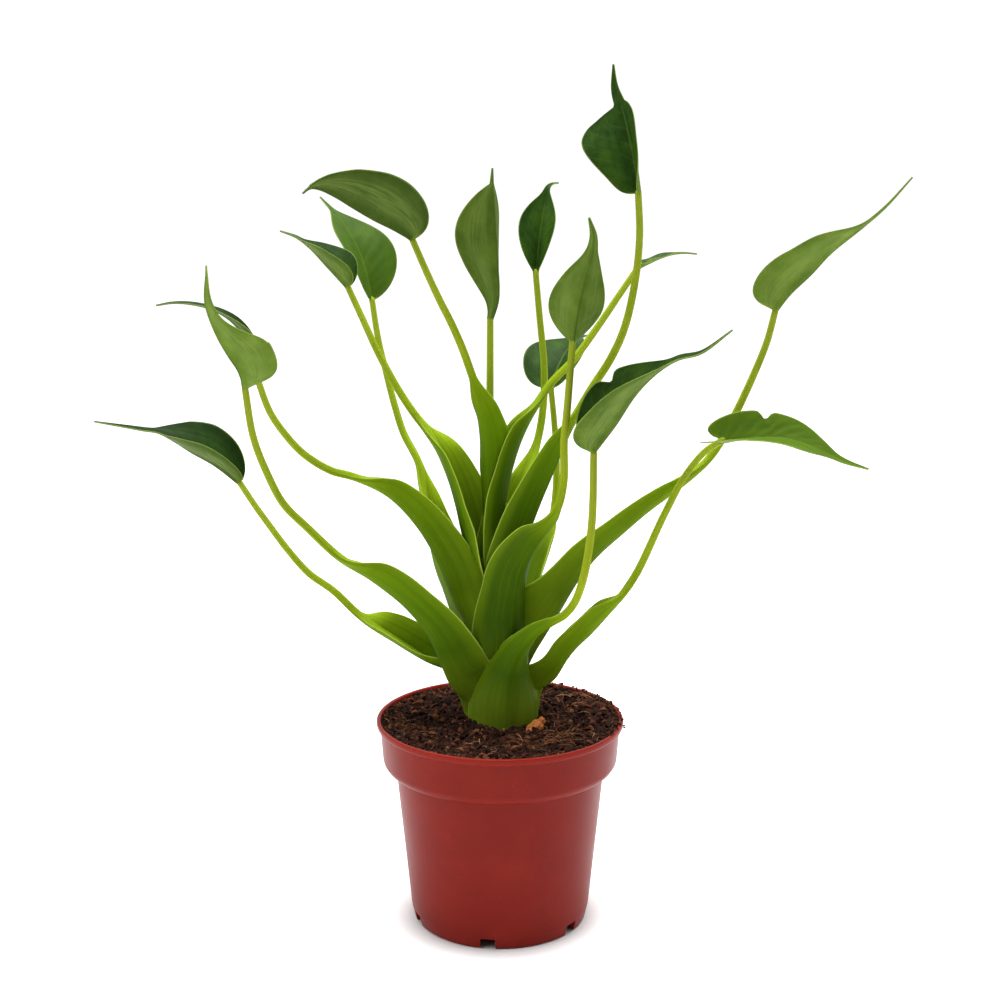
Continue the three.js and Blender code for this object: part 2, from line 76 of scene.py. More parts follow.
# %% Nodes that are used again and again
def sums(tree, operation, first, second=0.0, third=0.0):
    return add_node(tree, "Math", {"operation": operation}, {0: first, 1: second, 2: third}).outputs[0]


def between(tree, value, low, high, at_low=0.0, at_high=1.0, step="SMOOTHSTEP"):
    """A soft step: at_low up to low, at_high from high on."""
    node = add_node(tree, "MapRange", {"interpolation_type": step},
                    {"Value": value, "From Min": low, "From Max": high,
                     "To Min": at_low, "To Max": at_high})
    return node.outputs["Result"]


def blended(tree, factor, first, second):
    return add_node(tree, "Mix", {"data_type": "RGBA"}, {0: factor, 6: first, 7: second}).outputs[2]


def ramp(tree, value, stops):
    node = add_node(tree, "ValToRGB", None, {"Fac": value})
    elements = node.color_ramp.elements
    while len(elements) < len(stops):
        elements.new(0.5)
    for element, (place, colour) in zip(elements, stops):
        element.position = place
        element.color = colour
    return node.outputs["Color"]


def cloudy(tree, where, scale, detail, roughness=0.5):
    """Soft noise through space."""
    return add_node(tree, "TexNoise", None, {"Vector": where, "Scale": scale, "Detail": detail,
                                             "Roughness": roughness}).outputs["Fac"]


def raised(tree, height, strength, distance, coarser=None):
    """The surface's direction where a height raises it, on top of a coarser relief if given."""
    values = {"Height": height, "Strength": strength, "Distance": distance}
    if coarser:
        values["Normal"] = coarser
    return add_node(tree, "Bump", None, values).outputs["Normal"]


def paint(red, green, blue):
    """A colour as a painter reads it from a chart, 0 to 255, made linear."""
    return tuple(((v / 255 + 0.055) / 1.055) ** 2.4 if v > 10 else v / 255 / 12.92
                 for v in (red, green, blue)) + (1.0,)


# %% Materials and shared groups
def new_material(name, roughness, specular=0.5):
    made = bpy.data.materials.new(name)
    made.use_nodes = True
    shader = made.node_tree.nodes["Principled BSDF"]
    feed(made.node_tree, shader, {"Roughness": roughness, "Specular IOR Level": specular})
    return made, made.node_tree, shader


def new_group(name, inputs, outputs):
    """A shared recipe: named inputs with their usual values, and named outputs."""
    tree = bpy.data.node_groups.new(name, "ShaderNodeTree")
    for socket, value in inputs:
        made = tree.interface.new_socket(socket, in_out="INPUT", socket_type="NodeSocketFloat")
        made.default_value = value
    for socket in outputs:
        tree.interface.new_socket(socket, in_out="OUTPUT", socket_type="NodeSocketFloat")
    return tree, tree.nodes.new("NodeGroupInput"), tree.nodes.new("NodeGroupOutput")


def use_group(tree, group, values=None):
    return add_node(tree, "Group", {"node_tree": group}, values)


# %% [markdown]
# ## Camera, light and floor
# The photographer stood in front and a little above, looking 11 degrees down. The plant
# stands in a white tent: light comes from all sides and from above, and least from the
# camera's side, which is why the pot is darkest in its middle. A world shader that is white
# all round and dimmer in front gives just that. Two soft lamps model the leaves: a strong one
# overhead, and a weak one over the photographer's left shoulder that lifts the shaded side.
# The camera sees the world and the floor as plain white, as in a retouched picture.

# %% Camera
look_down = math.radians(11)
camera_data = bpy.data.cameras.new("camera")
camera = bpy.data.objects.new("camera", camera_data)
bpy.context.scene.collection.objects.link(camera)
camera.location = (0, -0.710, 0.346)
camera.rotation_euler = (math.radians(90) - look_down, 0, 0)
camera_data.sensor_width = 36
camera_data.lens = 54.9
bpy.context.scene.camera = camera
bpy.context.scene.view_settings.view_transform = "Standard"

# %% World
white = (1, 1, 1, 1)
world = bpy.data.worlds.new("white tent")
bpy.context.scene.world = world
world.use_nodes = True
sky = world.node_tree
sky.nodes.clear()
direction = add_node(sky, "TexCoord").outputs["Generated"]
split = add_node(sky, "SeparateXYZ", None, {0: direction}).outputs
towards_front = between(sky, split["Y"], -0.92, 0.1, 0.05, 0.84)
overhead = between(sky, split["Z"], 0.0, 0.9, 0.82, 1.3, "LINEAR")
tent_light = sums(sky, "MULTIPLY", towards_front, overhead)
seen = add_node(sky, "LightPath").outputs["Is Camera Ray"]
choose = add_node(sky, "Mix", None, {"Factor": seen, "A": tent_light, "B": 1.04})
glow = add_node(sky, "Background", None, {"Color": white, "Strength": choose.outputs["Result"]})
add_node(sky, "OutputWorld", None, {"Surface": glow.outputs[0]})

# %% Lamps
def add_lamp(name, place, target, size, power):
    lamp_data = bpy.data.lights.new(name, "AREA")
    lamp_data.shape = "DISK"
    lamp_data.size = size
    lamp_data.energy = power
    lamp = bpy.data.objects.new(name, lamp_data)
    lamp.location = place
    lamp.rotation_euler = (Vector(target) - Vector(place)).to_track_quat("-Z", "Y").to_euler()
    bpy.context.scene.collection.objects.link(lamp)


add_lamp("lamp over the left shoulder", (-0.9, -0.8, 1.3), (0, 0, 0.2), 0.9, 6)
add_lamp("lamp overhead", (0.1, 0.1, 1.6), (0, 0, 0.1), 1.2, 32)

# %% [markdown]
# The floor glows a little for the camera only, beyond the pot's foot. Under the foot it stays
# as it is, so that a soft contact shadow remains.

# %% Floor
bpy.ops.object.select_all(action="DESELECT")
bpy.ops.mesh.primitive_plane_add(size=30, location=(0, 0, -0.0004))
floor = bpy.context.active_object
floor.name = "floor"
floor_paint, tree, shader = new_material("pale floor", 0.9, 0.1)
from_pot = add_node(tree, "VectorMath", {"operation": "LENGTH"},
                    {0: add_node(tree, "TexCoord").outputs["Object"]}).outputs["Value"]
beyond_pot = between(tree, from_pot, 0.044, 0.056, 0.0, 0.42, "LINEAR")
seen = add_node(tree, "LightPath").outputs["Is Camera Ray"]
feed(tree, shader, {"Base Color": (0.92, 0.92, 0.92, 1), "Emission Color": white,
                    "Emission Strength": sums(tree, "MULTIPLY", seen, beyond_pot)})
floor.data.materials.append(floor_paint)

# %% [markdown]
# ## Helpers at the bench
# Most pieces start as a primitive and are shaped in edit mode. A leaf is a thin skin whose
# curves no hand tool gives, so it starts as a flat grid that is rolled up: its rows run along
# the leaf, its columns run round the skin, and each point is set on the leaf's own curve.
# The grid brings a UV map, so every pattern on the leaf can follow its length and its width.

# %% Starting and ending a piece
def start_clean():
    """Leaves edit mode and deselects everything, so that an operator meets one piece only."""
    if bpy.context.object and bpy.context.object.mode == "EDIT":
        bpy.ops.object.mode_set(mode="OBJECT")
    bpy.ops.object.select_all(action="DESELECT")


def pick(piece):
    start_clean()
    piece.select_set(True)
    bpy.context.view_layer.objects.active = piece


def hand_over(piece, replaced, material):
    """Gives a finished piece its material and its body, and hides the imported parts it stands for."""
    piece.data.materials.clear()
    piece.data.materials.append(material)
    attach(piece, "root")
    if replaced:
        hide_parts(*replaced)


def note_freshness(piece, value):
    """Young and sunlit parts are yellower: each piece keeps a value for its material to read."""
    made = piece.data.attributes.new("fresh", "FLOAT", "POINT")
    made.data.foreach_set("value", np.full(len(piece.data.vertices), value, np.float32))


def rolled_grid(name, places):
    """A grid primitive whose rows and columns are set on places, rolled up and closed."""
    rows, columns = places.shape[:2]
    start_clean()
    bpy.ops.mesh.primitive_grid_add(x_subdivisions=columns - 1, y_subdivisions=rows - 1, size=1)
    piece = bpy.context.active_object
    piece.name = name
    piece.data.name = name
    piece.data.vertices.foreach_set("co", (places * mm).astype(np.float32).ravel())
    piece.data.update()
    bpy.ops.object.mode_set(mode="EDIT")
    bpy.ops.mesh.select_all(action="SELECT")
    bpy.ops.mesh.remove_doubles(threshold=0.002 * mm)
    bpy.ops.mesh.select_all(action="DESELECT")
    bpy.ops.mesh.select_non_manifold()
    bpy.ops.mesh.fill_holes(sides=0)
    bpy.ops.mesh.select_all(action="SELECT")
    bpy.ops.mesh.normals_make_consistent(inside=False)
    bpy.ops.object.mode_set(mode="OBJECT")
    return piece


# %% [markdown]
# ## The leaves' measures
# Each leaf is one sheath that clasps the stem, a round petiole above it and a folded blade.
# The measures are in millimetres and degrees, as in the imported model, so every fine leaf lies
# where its plain one does. A route is the keel of the stalk: out from the stem, height,
# sideways. A rib is the blade's midrib from the petiole's end: out, up, sideways. The two
# numbers for freshness say how young the green of the stalk and of the blade is, 0 to 1.

# %% Table of the leaves, outermost first
leaves = [
    dict(number=1, fresh=(0.35, 0.3), turn=275, sheath_top=164, girth=(27, 26.8, 16, 8.2, 4),
         wrap=(88, 40), set_off=-1, sides=(1, 1.08),
         route=[(18, 104, 0.5), (18.6, 114, 2), (20, 125, 4.2), (22.5, 134, 7.2), (27, 142, 11.3),
                (34, 150.5, 16.5), (42.5, 158, 23.5), (51, 164.5, 29.5), (58, 172, 33.5),
                (63, 181, 36.5), (66, 192, 38.7), (68, 212, 40.5), (67, 240, 41)],
         heading=335, half=21, fold=52, cup=34, tail=0.34, roll=22, wings=(0.9, 0.96), lobe=4,
         notch=(1, 0.52, 0.26, 0.04), flame=3,
         rib=[(9, 12), (19, 27), (29, 37), (37, 42), (47, 45), (60, 55)]),
    dict(number=15, fresh=(0.7, 1.0), turn=342, set_off=1, sheath_top=170, girth=(26, 12, 10.5, 11, 9),
         wrap=(95, 38),
         route=[(18.3, 104, 7.5), (23.4, 114, 7), (35, 133.5, 4.5), (47, 146, 2), (57, 157),
                (66, 167.5), (73.5, 178.5), (86, 206), (95, 224), (104, 236), (111, 241)],
         heading=345, half=15, fold=32, cup=26, tail=0.2, roll=30, wings=(1.1, 0.8), lobe=22, flame=5,
         crinkle=0.17, notch=(1, 0.4, 0.34, 0.028),
         rib=[(14, 2), (30, 2), (43, -2), (54, -7), (65, -10)]),
    dict(number=2, fresh=(0.55, 0.62), turn=208, set_off=-6.5, sheath_top=191,
         girth=(27, 25, 20, 15.5, 12.5), wrap=(50, 34), keel=50, sides=(0.55, 1),
         route=[(19.6, 101, -7.5), (22.6, 111, -7), (25.2, 120, -6), (28.8, 132.5, -4),
                (35.5, 148, -2), (47, 163), (61, 176.5), (75, 187), (91, 203), (102, 215), (109, 229),
                (115, 246), (118, 267)],
         heading=205, half=21.5, fold=40, cup=40, tail=0.34, roll=0, lobe=0, base=0.95, peak=0.46,
         flame=58, taper=2, wave=0.15,
         rib=[(4, 8.8, 5.4), (8, 15, 5.9), (12, 22, 6.3), (15, 28.5, 6.9), (17, 34, 7.6),
              (18, 38.2, 8.2), (18, 43.7, 8.6), (17, 48.6, 7), (16, 53, 4)]),
    dict(number=3, fresh=(0.55, 0.1), turn=176, sheath_top=151, girth=(9, 9, 13.5, 13.5, 11),
         wrap=(40, 38), keel=30, lean=-36,
         route=[(17, 109, -3), (23, 116.5, -3.4), (34, 127, -2.6), (47, 136.5, -1), (65, 149),
                (77, 161.5), (88, 170), (97, 181.5), (105, 193), (112, 203), (119, 214)],
         heading=176, half=18, fold=46, cup=38, tail=0.36, roll=-12, peak=0.52,
         rib=[(12, 9), (23, 15), (31, 20), (39, 24), (46, 25), (58, 27), (70, 29)]),
    dict(number=9, fresh=(0.05, 0.34), turn=65, sheath_top=186, girth=(25, 18, 12.5, 9.5, 6.5),
         wrap=(92, 38), sides=(0.85, 1),
         route=[(17, 117), (24, 129), (38, 145), (53, 158), (67, 169), (78, 181), (84, 196), (85, 212),
                (82, 232), (77, 252)],
         heading=62, half=15, fold=20, cup=25, tail=0.24, roll=0, wings=(1, 1.25), lobe=4,
         rib=[(7, 9), (17, 17), (28, 22), (40, 24), (50, 24)]),
    dict(number=12, fresh=(0.6, 0.72), turn=135, sheath_top=219, girth=(25, 23.5, 21.5, 17, 10),
         wrap=(92, 38),
         route=[(15, 121), (20, 133), (28, 148), (36, 167), (41, 190), (47.5, 218), (59.5, 233.5),
                (66, 247), (72.5, 264), (78, 280), (82, 298)],
         heading=140, half=19, fold=18, cup=28, tail=0.14, roll=0, lobe=0, base=0.8, peak=0.42,
         flame=5,
         rib=[(4, 14), (10, 26), (20, 38), (36, 51)]),
    dict(number=5, fresh=(0.1, 0.35), turn=300, sheath_top=214, girth=(27, 25, 21.5, 17, 10.5),
         wrap=(90, 36),
         route=[(13.5, 128), (17, 141), (23, 160), (31, 178), (42, 192), (54, 204), (64, 216),
                (68, 228), (68, 245), (70, 257), (72, 272), (74, 288)],
         heading=300, half=12.5, fold=20, cup=22, tail=0.22, roll=-20, peak=0.36, lobe=-2, base=0.85,
         flame=4,
         rib=[(2, 12, 1), (4, 25, 3), (6, 36, 5), (7, 44, 5.5), (8, 52, 2.5)]),
    dict(number=14, fresh=(0.7, 0.6), turn=350, sheath_top=234, girth=(24, 22, 17.5, 12.5, 7.5),
         wrap=(90, 38), sides=(1, 0.8), foot_out=4, set_off=5,
         route=[(18.8, 122, 6.5), (20.4, 132, 5.8), (25.2, 143, 3.5), (33, 156, 1), (42.7, 171),
                (52.8, 183), (64.2, 194), (77.6, 206.5), (93.5, 219.5), (103.5, 229.5), (110, 239.5),
                (116, 252), (124, 271), (129, 285), (132, 298)],
         heading=350, half=20.5, fold=48, cup=28, tail=0.3, roll=-4, lobe=4, base=0.5, peak=0.34,
         rib=[(6, 8), (15, 17), (23, 26), (36, 37), (46, 46), (57, 59)]),
    dict(number=4, fresh=(0.65, 0.0), turn=190, sheath_top=222, girth=(24, 22.5, 19.5, 16, 11),
         wrap=(90, 38), lean=12,
         route=[(12, 137), (14, 147), (18, 158), (22.8, 176), (29.5, 191), (38.5, 203.5), (48.5, 213),
                (63, 220.5), (74, 224), (86, 232), (94, 241), (101, 252), (107, 270)],
         heading=190, half=9, fold=30, cup=24, tail=0.3, roll=-12, wings=(0.4, 1),
         rib=[(2, 13), (8, 22), (16, 28), (25, 31), (35, 32), (43, 31)]),
    dict(number=10, fresh=(0.6, 0.5), turn=45, sheath_top=232, girth=(20, 18.8, 16.2, 12.4, 7.6),
         wrap=(88, 36),
         route=[(11, 140), (13, 165), (17, 192), (23, 208), (30, 222), (36, 236), (39, 252), (39, 270),
                (36, 291), (33, 313)],
         heading=65, half=11.5, fold=34, cup=38, tail=0.16, roll=14, wings=(0.75, 1), peak=0.47,
         lobe=0, base=0.8, flame=3,
         rib=[(3, 12), (7, 24), (11, 34), (14, 40), (17, 42, -1), (20, 42.6, -3)]),
    dict(number=13, fresh=(0.45, 0.3), turn=168, sheath_top=246, girth=(22, 20.7, 19.5, 16.5, 11),
         wrap=(88, 36), lean=-22,
         route=[(9, 150), (9.5, 178), (12.5, 197), (17, 214.5), (23, 230), (29.5, 240.5), (35.5, 248),
                (43, 259), (53, 277), (60, 292), (67, 307)],
         heading=168, half=13, fold=46, cup=34, tail=0.24, roll=-4, peak=0.42, lobe=3,
         rib=[(4, 4), (10, 10), (18, 18), (25, 23), (33, 26)]),
    dict(number=6, fresh=(0.3, 0.45), turn=325, sheath_top=256, girth=(20, 18.5, 16, 12.5, 8),
         wrap=(88, 36),
         route=[(12, 155), (17, 178, 2), (23, 197, 3), (30, 214, 3), (38, 231, 2.5), (45.5, 246, 1),
                (52, 256), (58.5, 266), (67, 278), (74, 292), (79, 312), (81, 332), (80, 350)],
         heading=45, half=21, fold=36, cup=28, tail=0.3, roll=0, wings=(0.32, 1), peak=0.7, sharp=0.45,
         base=0.2, flame=6, lobe=0,
         rib=[(-1, 11, 1), (-2, 22, 3), (-2, 34, 7), (-3, 44, 11), (-3, 54, 12.5)]),
    dict(number=11, fresh=(0.6, 0.25), turn=85, sheath_top=214, girth=(15, 14.1, 12.2, 9.5, 6),
         wrap=(84, 36),
         route=[(8, 165), (10, 190), (12, 214), (14, 235), (16, 255), (17, 274), (18, 291)],
         heading=315, half=19, fold=42, cup=30, tail=0.1, roll=0, wings=(1, 0.4), peak=0.64,
         sharp=0.75, base=0.8, flame=6, lobe=2,
         rib=[(2, 10, 2.5), (2, 30, 2), (1.5, 48, 1), (1, 62, 0.5), (1, 71, 0.5)]),
    dict(number=8, fresh=(0.25, 0.4), turn=8, sheath_top=258, girth=(16, 15, 13.5, 11.5, 9),
         wrap=(84, 36),
         route=[(6.5, 178), (8, 205), (11, 221), (15, 235), (21, 248), (30, 262), (41.5, 274),
                (52, 288), (63, 304), (72, 317)],
         heading=10, half=5.5, fold=6, cup=14, tail=0.3, roll=2, lobe=0, flame=2,
         rib=[(5, 2), (10, 4), (16, 5.6), (22, 6), (28, 5.5)]),
    dict(number=7, fresh=(0.5, 0.0), turn=250, sheath_top=266, girth=(17, 16.5, 16, 15, 10),
         wrap=(84, 36),
         route=[(5.5, 180, 4), (5.5, 209, 4.4), (5.8, 230, 3.7), (6.2, 241, 2.7), (6.6, 250, 1),
                (7, 257, -1), (7.5, 263, -2.8), (8.5, 270, -5), (10.7, 279, -7.5), (15.6, 291, -10.9),
                (21.3, 303, -14.9), (27, 316, -18.9), (32.8, 330, -22.9)],
         heading=205, half=25, fold=40, cup=14, tail=0.06, roll=2, peak=0.47, sharp=0.82, lobe=10,
         base=0.5, opening=0.1, wings=(0.7, 1), flame=6,
         rib=[(9, 4.7), (18, 8.8), (27, 13.6), (36, 18.7), (43, 21.7), (47, 22.1), (50.5, 20)]),
]
first_sheath_radius = 17.6
sheath_radius_step = 0.85
foot_heights = [93, 93.3, 93.6, 94.5, 97, 101, 106, 110, 120, 128, 136, 144, 151, 155, 159]
for order, (leaf, foot_height) in enumerate(zip(leaves, foot_heights)):
    foot_radius = first_sheath_radius - sheath_radius_step * order + leaf.get("foot_out", 0)
    leaf["foot"] = (foot_radius, foot_height)
print("leaves", len(leaves))

# %% [markdown]
# ## Curves in space
# A smooth line through a few points is what a bent petiole is. The centripetal spline passes
# through every point without overshooting, and its length is measured so that stations can be
# set at even steps along it.

# %% Curve and frame
def direction_of(angle):
    return np.array([math.cos(math.radians(angle)), math.sin(math.radians(angle)), 0.0])


stem_foot = (2.2, 3.0, 93.0)
stem_top = 185.0
stem_drift = 0.0915


def stem_centre(height):
    """The stem leans a little to the left as it rises."""
    rise = min(max(height, stem_foot[2]), stem_top) - stem_foot[2]
    return np.array([stem_foot[0] - stem_drift * rise, stem_foot[1], height])


def placed(origin, outward, aside, station):
    """A station of a route: out, height and, where it is given, sideways."""
    sideways = station[2] if len(station) > 2 else 0
    return origin + outward * station[0] + aside * sideways


class Line:
    """A smooth line through points, read by the share of its length."""

    def __init__(self, points, steps=40):
        points = [np.array(p, float) for p in points]
        points = [2 * points[0] - points[1], *points, 2 * points[-1] - points[-2]]
        made = []
        for before, start, end, after in zip(points, points[1:], points[2:], points[3:]):
            gaps = [max(np.linalg.norm(b - a) ** 0.5, 1e-4)
                    for a, b in ((before, start), (start, end), (end, after))]
            leave = ((start - before) / gaps[0] - (end - before) / (gaps[0] + gaps[1])
                     + (end - start) / gaps[1]) * gaps[1]
            arrive = ((end - start) / gaps[1] - (after - start) / (gaps[1] + gaps[2])
                      + (after - end) / gaps[2]) * gaps[1]
            for t in np.arange(steps) / steps:
                made.append(start + leave * t + (3 * (end - start) - 2 * leave - arrive) * t ** 2
                            + (2 * (start - end) + leave + arrive) * t ** 3)
        made.append(points[-2])
        self.points = np.array(made)
        lengths = np.linalg.norm(np.diff(self.points, axis=0), axis=1)
        self.along = np.concatenate([[0], np.cumsum(lengths)])

    def at(self, share):
        return np.array([np.interp(share * self.along[-1], self.along, self.points[:, k])
                         for k in range(3)])

    def heading(self, share):
        step = self.at(min(share + 0.004, 1)) - self.at(max(share - 0.004, 0))
        return step / np.linalg.norm(step)

    def share_at_height(self, height):
        return next((k / 200 for k in range(201) if self.at(k / 200)[2] >= height), 1.0)


def turned(vector, axis, angle):
    a = math.radians(angle)
    return vector * math.cos(a) + np.cross(axis, vector) * math.sin(a)


def frame_on(line, share, guide, roll=0):
    """Along the line, up into the leaf's open side, and across it."""
    along = line.heading(share)
    up = np.cross(along, guide)
    up = up / np.linalg.norm(up)
    across = np.cross(up, along)
    return along, turned(up, along, roll), turned(across, along, roll)


def arched(u, arc, fold, bend):
    """Point of a folded and curled section: across, up, and the slope there."""
    curl = max(bend, 0.001)
    slope = fold + curl * abs(u)
    across = arc / curl * (math.sin(slope) - math.sin(fold))
    up = arc / curl * (math.cos(fold) - math.cos(slope))
    return math.copysign(across, u), up, math.copysign(slope, u)


def mixed(start, end, share):
    return start + (end - start) * share


def smooth(value, low, high):
    t = min(max((value - low) / (high - low), 0), 1)
    return t * t * (3 - 2 * t)


def flowing(values, share):
    """A soft curve through values set at even steps."""
    place = min(max(share, 0), 1) * (len(values) - 1)
    k = min(int(place), len(values) - 2)
    before, start, end, after = (values[min(max(k + n, 0), len(values) - 1)] for n in (-1, 0, 1, 2))
    t = place - k
    leave, arrive = (end - before) / 2, (after - start) / 2
    return (start + leave * t + (3 * (end - start) - 2 * leave - arrive) * t ** 2
            + (2 * (start - end) + leave + arrive) * t ** 3)


# %% [markdown]
# ## Stalks
# A stalk is a crescent at its foot, wrapped round the stem, and closes upwards to a round
# petiole. Its middle surface is laid out first, row by row, and gets its thickness after
# that. The sheaths clasp one another: an inner one has to dive under the outer ones.
# Cutting them would leave sharp edges, so each inner sheath is pushed in towards the stem
# where an outer one covers it, and the push fades softly beyond the outer sheath's edge.

# %% Middle surface of a stalk
sheath_steps = 54
petiole_steps = 34
tip_steps = 3
tip_length = 2.4
half_columns = 27
rim_angle = math.radians(84)
round_petiole = (1.9, 1.45)
sheath_half = 0.9


def stalk_middle(leaf):
    """Keel line, rows of points, normals and half thicknesses, and each row's place up the sheath."""
    stations = [(*leaf["foot"], leaf.get("set_off", 0)), *leaf["route"]]
    outward, aside = direction_of(leaf["turn"]), direction_of(leaf["turn"] + 90)
    line = Line([placed(stem_centre(s[1]), outward, aside, s) for s in stations])
    sheath_end = line.share_at_height(leaf["sheath_top"])
    rows = [(k / sheath_steps * sheath_end, k / sheath_steps) for k in range(sheath_steps + 1)]
    rows += [(mixed(sheath_end, 1, k / petiole_steps), 1 + k / petiole_steps)
             for k in range(1, petiole_steps + 1)]
    points, normals, halves = [], [], []
    for share, sheath in rows:
        t = min(sheath, 1)
        lean = leaf.get("lean", 0) * smooth(t, 0.05, 0.4) * (1 - smooth(t, 0.8, 1))
        along, up, across = frame_on(line, share, aside, lean)
        round_half = mixed(*round_petiole, max(sheath - 1, 0))
        arc = flowing([*leaf["girth"], round_half], t)
        opened = math.radians(mixed(*leaf["wrap"], min(t / 0.6, 1)))
        closing = 1 - smooth(t, 0.8, 1)
        crease = math.radians(mixed(leaf.get("keel", 0), 32, min(t / 0.5, 1))) * closing
        thick = mixed(sheath_half, round_half, t * t)
        reach = mixed(0.966, 0.995, t * t)
        centre = line.at(share)
        row = []
        for column in range(half_columns):
            even = 2 * column / (half_columns - 1) - 1
            angle = rim_angle * even
            u = mixed(even, math.sin(angle) / math.sin(rim_angle), t * t)
            side = leaf["sides"][0 if u < 0 else 1] if "sides" in leaf else 1
            side = mixed(1, side, closing)
            out, rise, slope = arched(u, arc * reach * side, crease, opened * closing * side)
            slope *= min(abs(u) / 0.1, 1)
            normal = up * math.cos(slope) - across * math.sin(slope)
            half = max(thick * math.cos(angle), mixed(0.22, 0.1, t))
            row.append((centre + across * out + up * rise, normal, half))
        points.append([r[0] for r in row])
        normals.append([r[1] for r in row])
        halves.append([r[2] for r in row])
    return line, np.array(points), np.array(normals), np.array(halves), [r[1] for r in rows]


# %% Skin round a middle surface
rim_bulge = 0.8


def skin_of(points, normals, below, above):
    """Ring by ring round a thin body: under side, right rim, upper side, left rim."""
    rims = []
    for rim, next_in in ((0, 1), (-1, -2)):
        side = points[:, rim] - points[:, next_in]
        side = side / np.maximum(np.linalg.norm(side, axis=1, keepdims=True), 1e-6)
        rims.append((points[:, rim] + side * (below[:, rim] * rim_bulge)[:, None])[:, None])
    left, right = rims
    under = points - normals * below[..., None]
    over = points + normals * above[..., None]
    return np.concatenate([left, under, right, over[:, ::-1], left], axis=1)


# %% [markdown]
# Where does an outer sheath cover a point? A ray from the stem's middle through the point
# tells: if it meets the outer sheath first, the point has to come in to where the ray met it.

# %% Pushing an inner sheath under the outer ones
push_gap = 0.35
deepest_push = 9.0
soft_rounds = 12
clasping_part = 0.75


def pushed_in(points, halves, sheath_at, outer_trees):
    need = np.zeros(points.shape[:2])
    inward = np.zeros(points.shape)
    for i, row in enumerate(points):
        if sheath_at[i] > clasping_part:
            continue
        for j, point in enumerate(row):
            axis = stem_centre(point[2])
            ray = point - axis
            reach = np.linalg.norm(ray)
            if reach < 1:
                continue
            ray = ray / reach
            inward[i, j] = -ray
            for tree in outer_trees:
                hit = tree.ray_cast(Vector(axis), Vector(ray), reach + 3)
                if hit[0] is not None:
                    over = reach + halves[i, j] + push_gap - hit[3]
                    if 0 < over < deepest_push:
                        need[i, j] = max(need[i, j], over)
    push = need.copy()
    for _ in range(soft_rounds):
        soft = push.copy()
        soft[1:-1] = (push[:-2] + push[1:-1] + push[2:]) / 3
        soft[:, 1:-1] = (soft[:, :-2] + soft[:, 1:-1] + soft[:, 2:]) / 3
        push = np.maximum(need, soft * 0.92)
    return points + inward * push[..., None]


# %% [markdown]
# The finished stalk is closed at its foot and runs a few millimetres into the blade's midrib,
# so that leaf and stalk join without a gap. Faint unevenness keeps the sheath from looking
# turned on a lathe.

# %% Building a stalk
def build_stalk(leaf, outer_trees):
    line, points, normals, halves, sheath_at = stalk_middle(leaf)
    for i, t in enumerate(sheath_at):
        swing = 0.4 * (1 - smooth(t, 0.5, 0.95))
        for j in range(half_columns):
            bump = noise.noise(Vector(points[i, j] * 0.07) + Vector((leaf["number"] * 3.1, 0, 0)))
            points[i, j] = points[i, j] + normals[i, j] * bump * swing
    points = pushed_in(points, halves, sheath_at, outer_trees)
    end, along = line.at(1), line.heading(1)
    for k in range(1, tip_steps + 1):
        share = k / tip_steps
        shrink = math.sqrt(max(1 - share * share, 0.04))
        ring = end + along * tip_length * share + (points[-k] - end) * shrink
        points = np.concatenate([points, [ring]])
        normals = np.concatenate([normals, normals[-1:]])
        halves = np.concatenate([halves, halves[-k:][:1] * shrink])
    piece = rolled_grid(f"stalk_{leaf['number']:02d}", skin_of(points, normals, halves, halves))
    tree = BVHTree.FromPolygons([v.co / mm for v in piece.data.vertices],
                                [p.vertices[:] for p in piece.data.polygons])
    note_freshness(piece, leaf["fresh"][0])
    bpy.ops.object.shade_smooth_by_angle(angle=math.radians(70))
    return piece, tree, line


# %% [markdown]
# ## Blades
# A blade is a boat: two wings folded up along a keel, widest near the petiole and drawn out
# to a thin tip. Under the keel the midrib stands out as a round cord, above it lies a shallow
# groove. The wings wave a little at their margins, and faint swellings lie between the veins.

# %% Building a blade
blade_steps = 56
tail_steps = 16
wing_columns = 35


def blade_outline(v, peak, base, sharp):
    swell = math.sin(math.pi * v ** (math.log(0.5) / math.log(peak))) if v > 0 else 0
    return max(swell, 0) ** mixed(base, sharp, v)


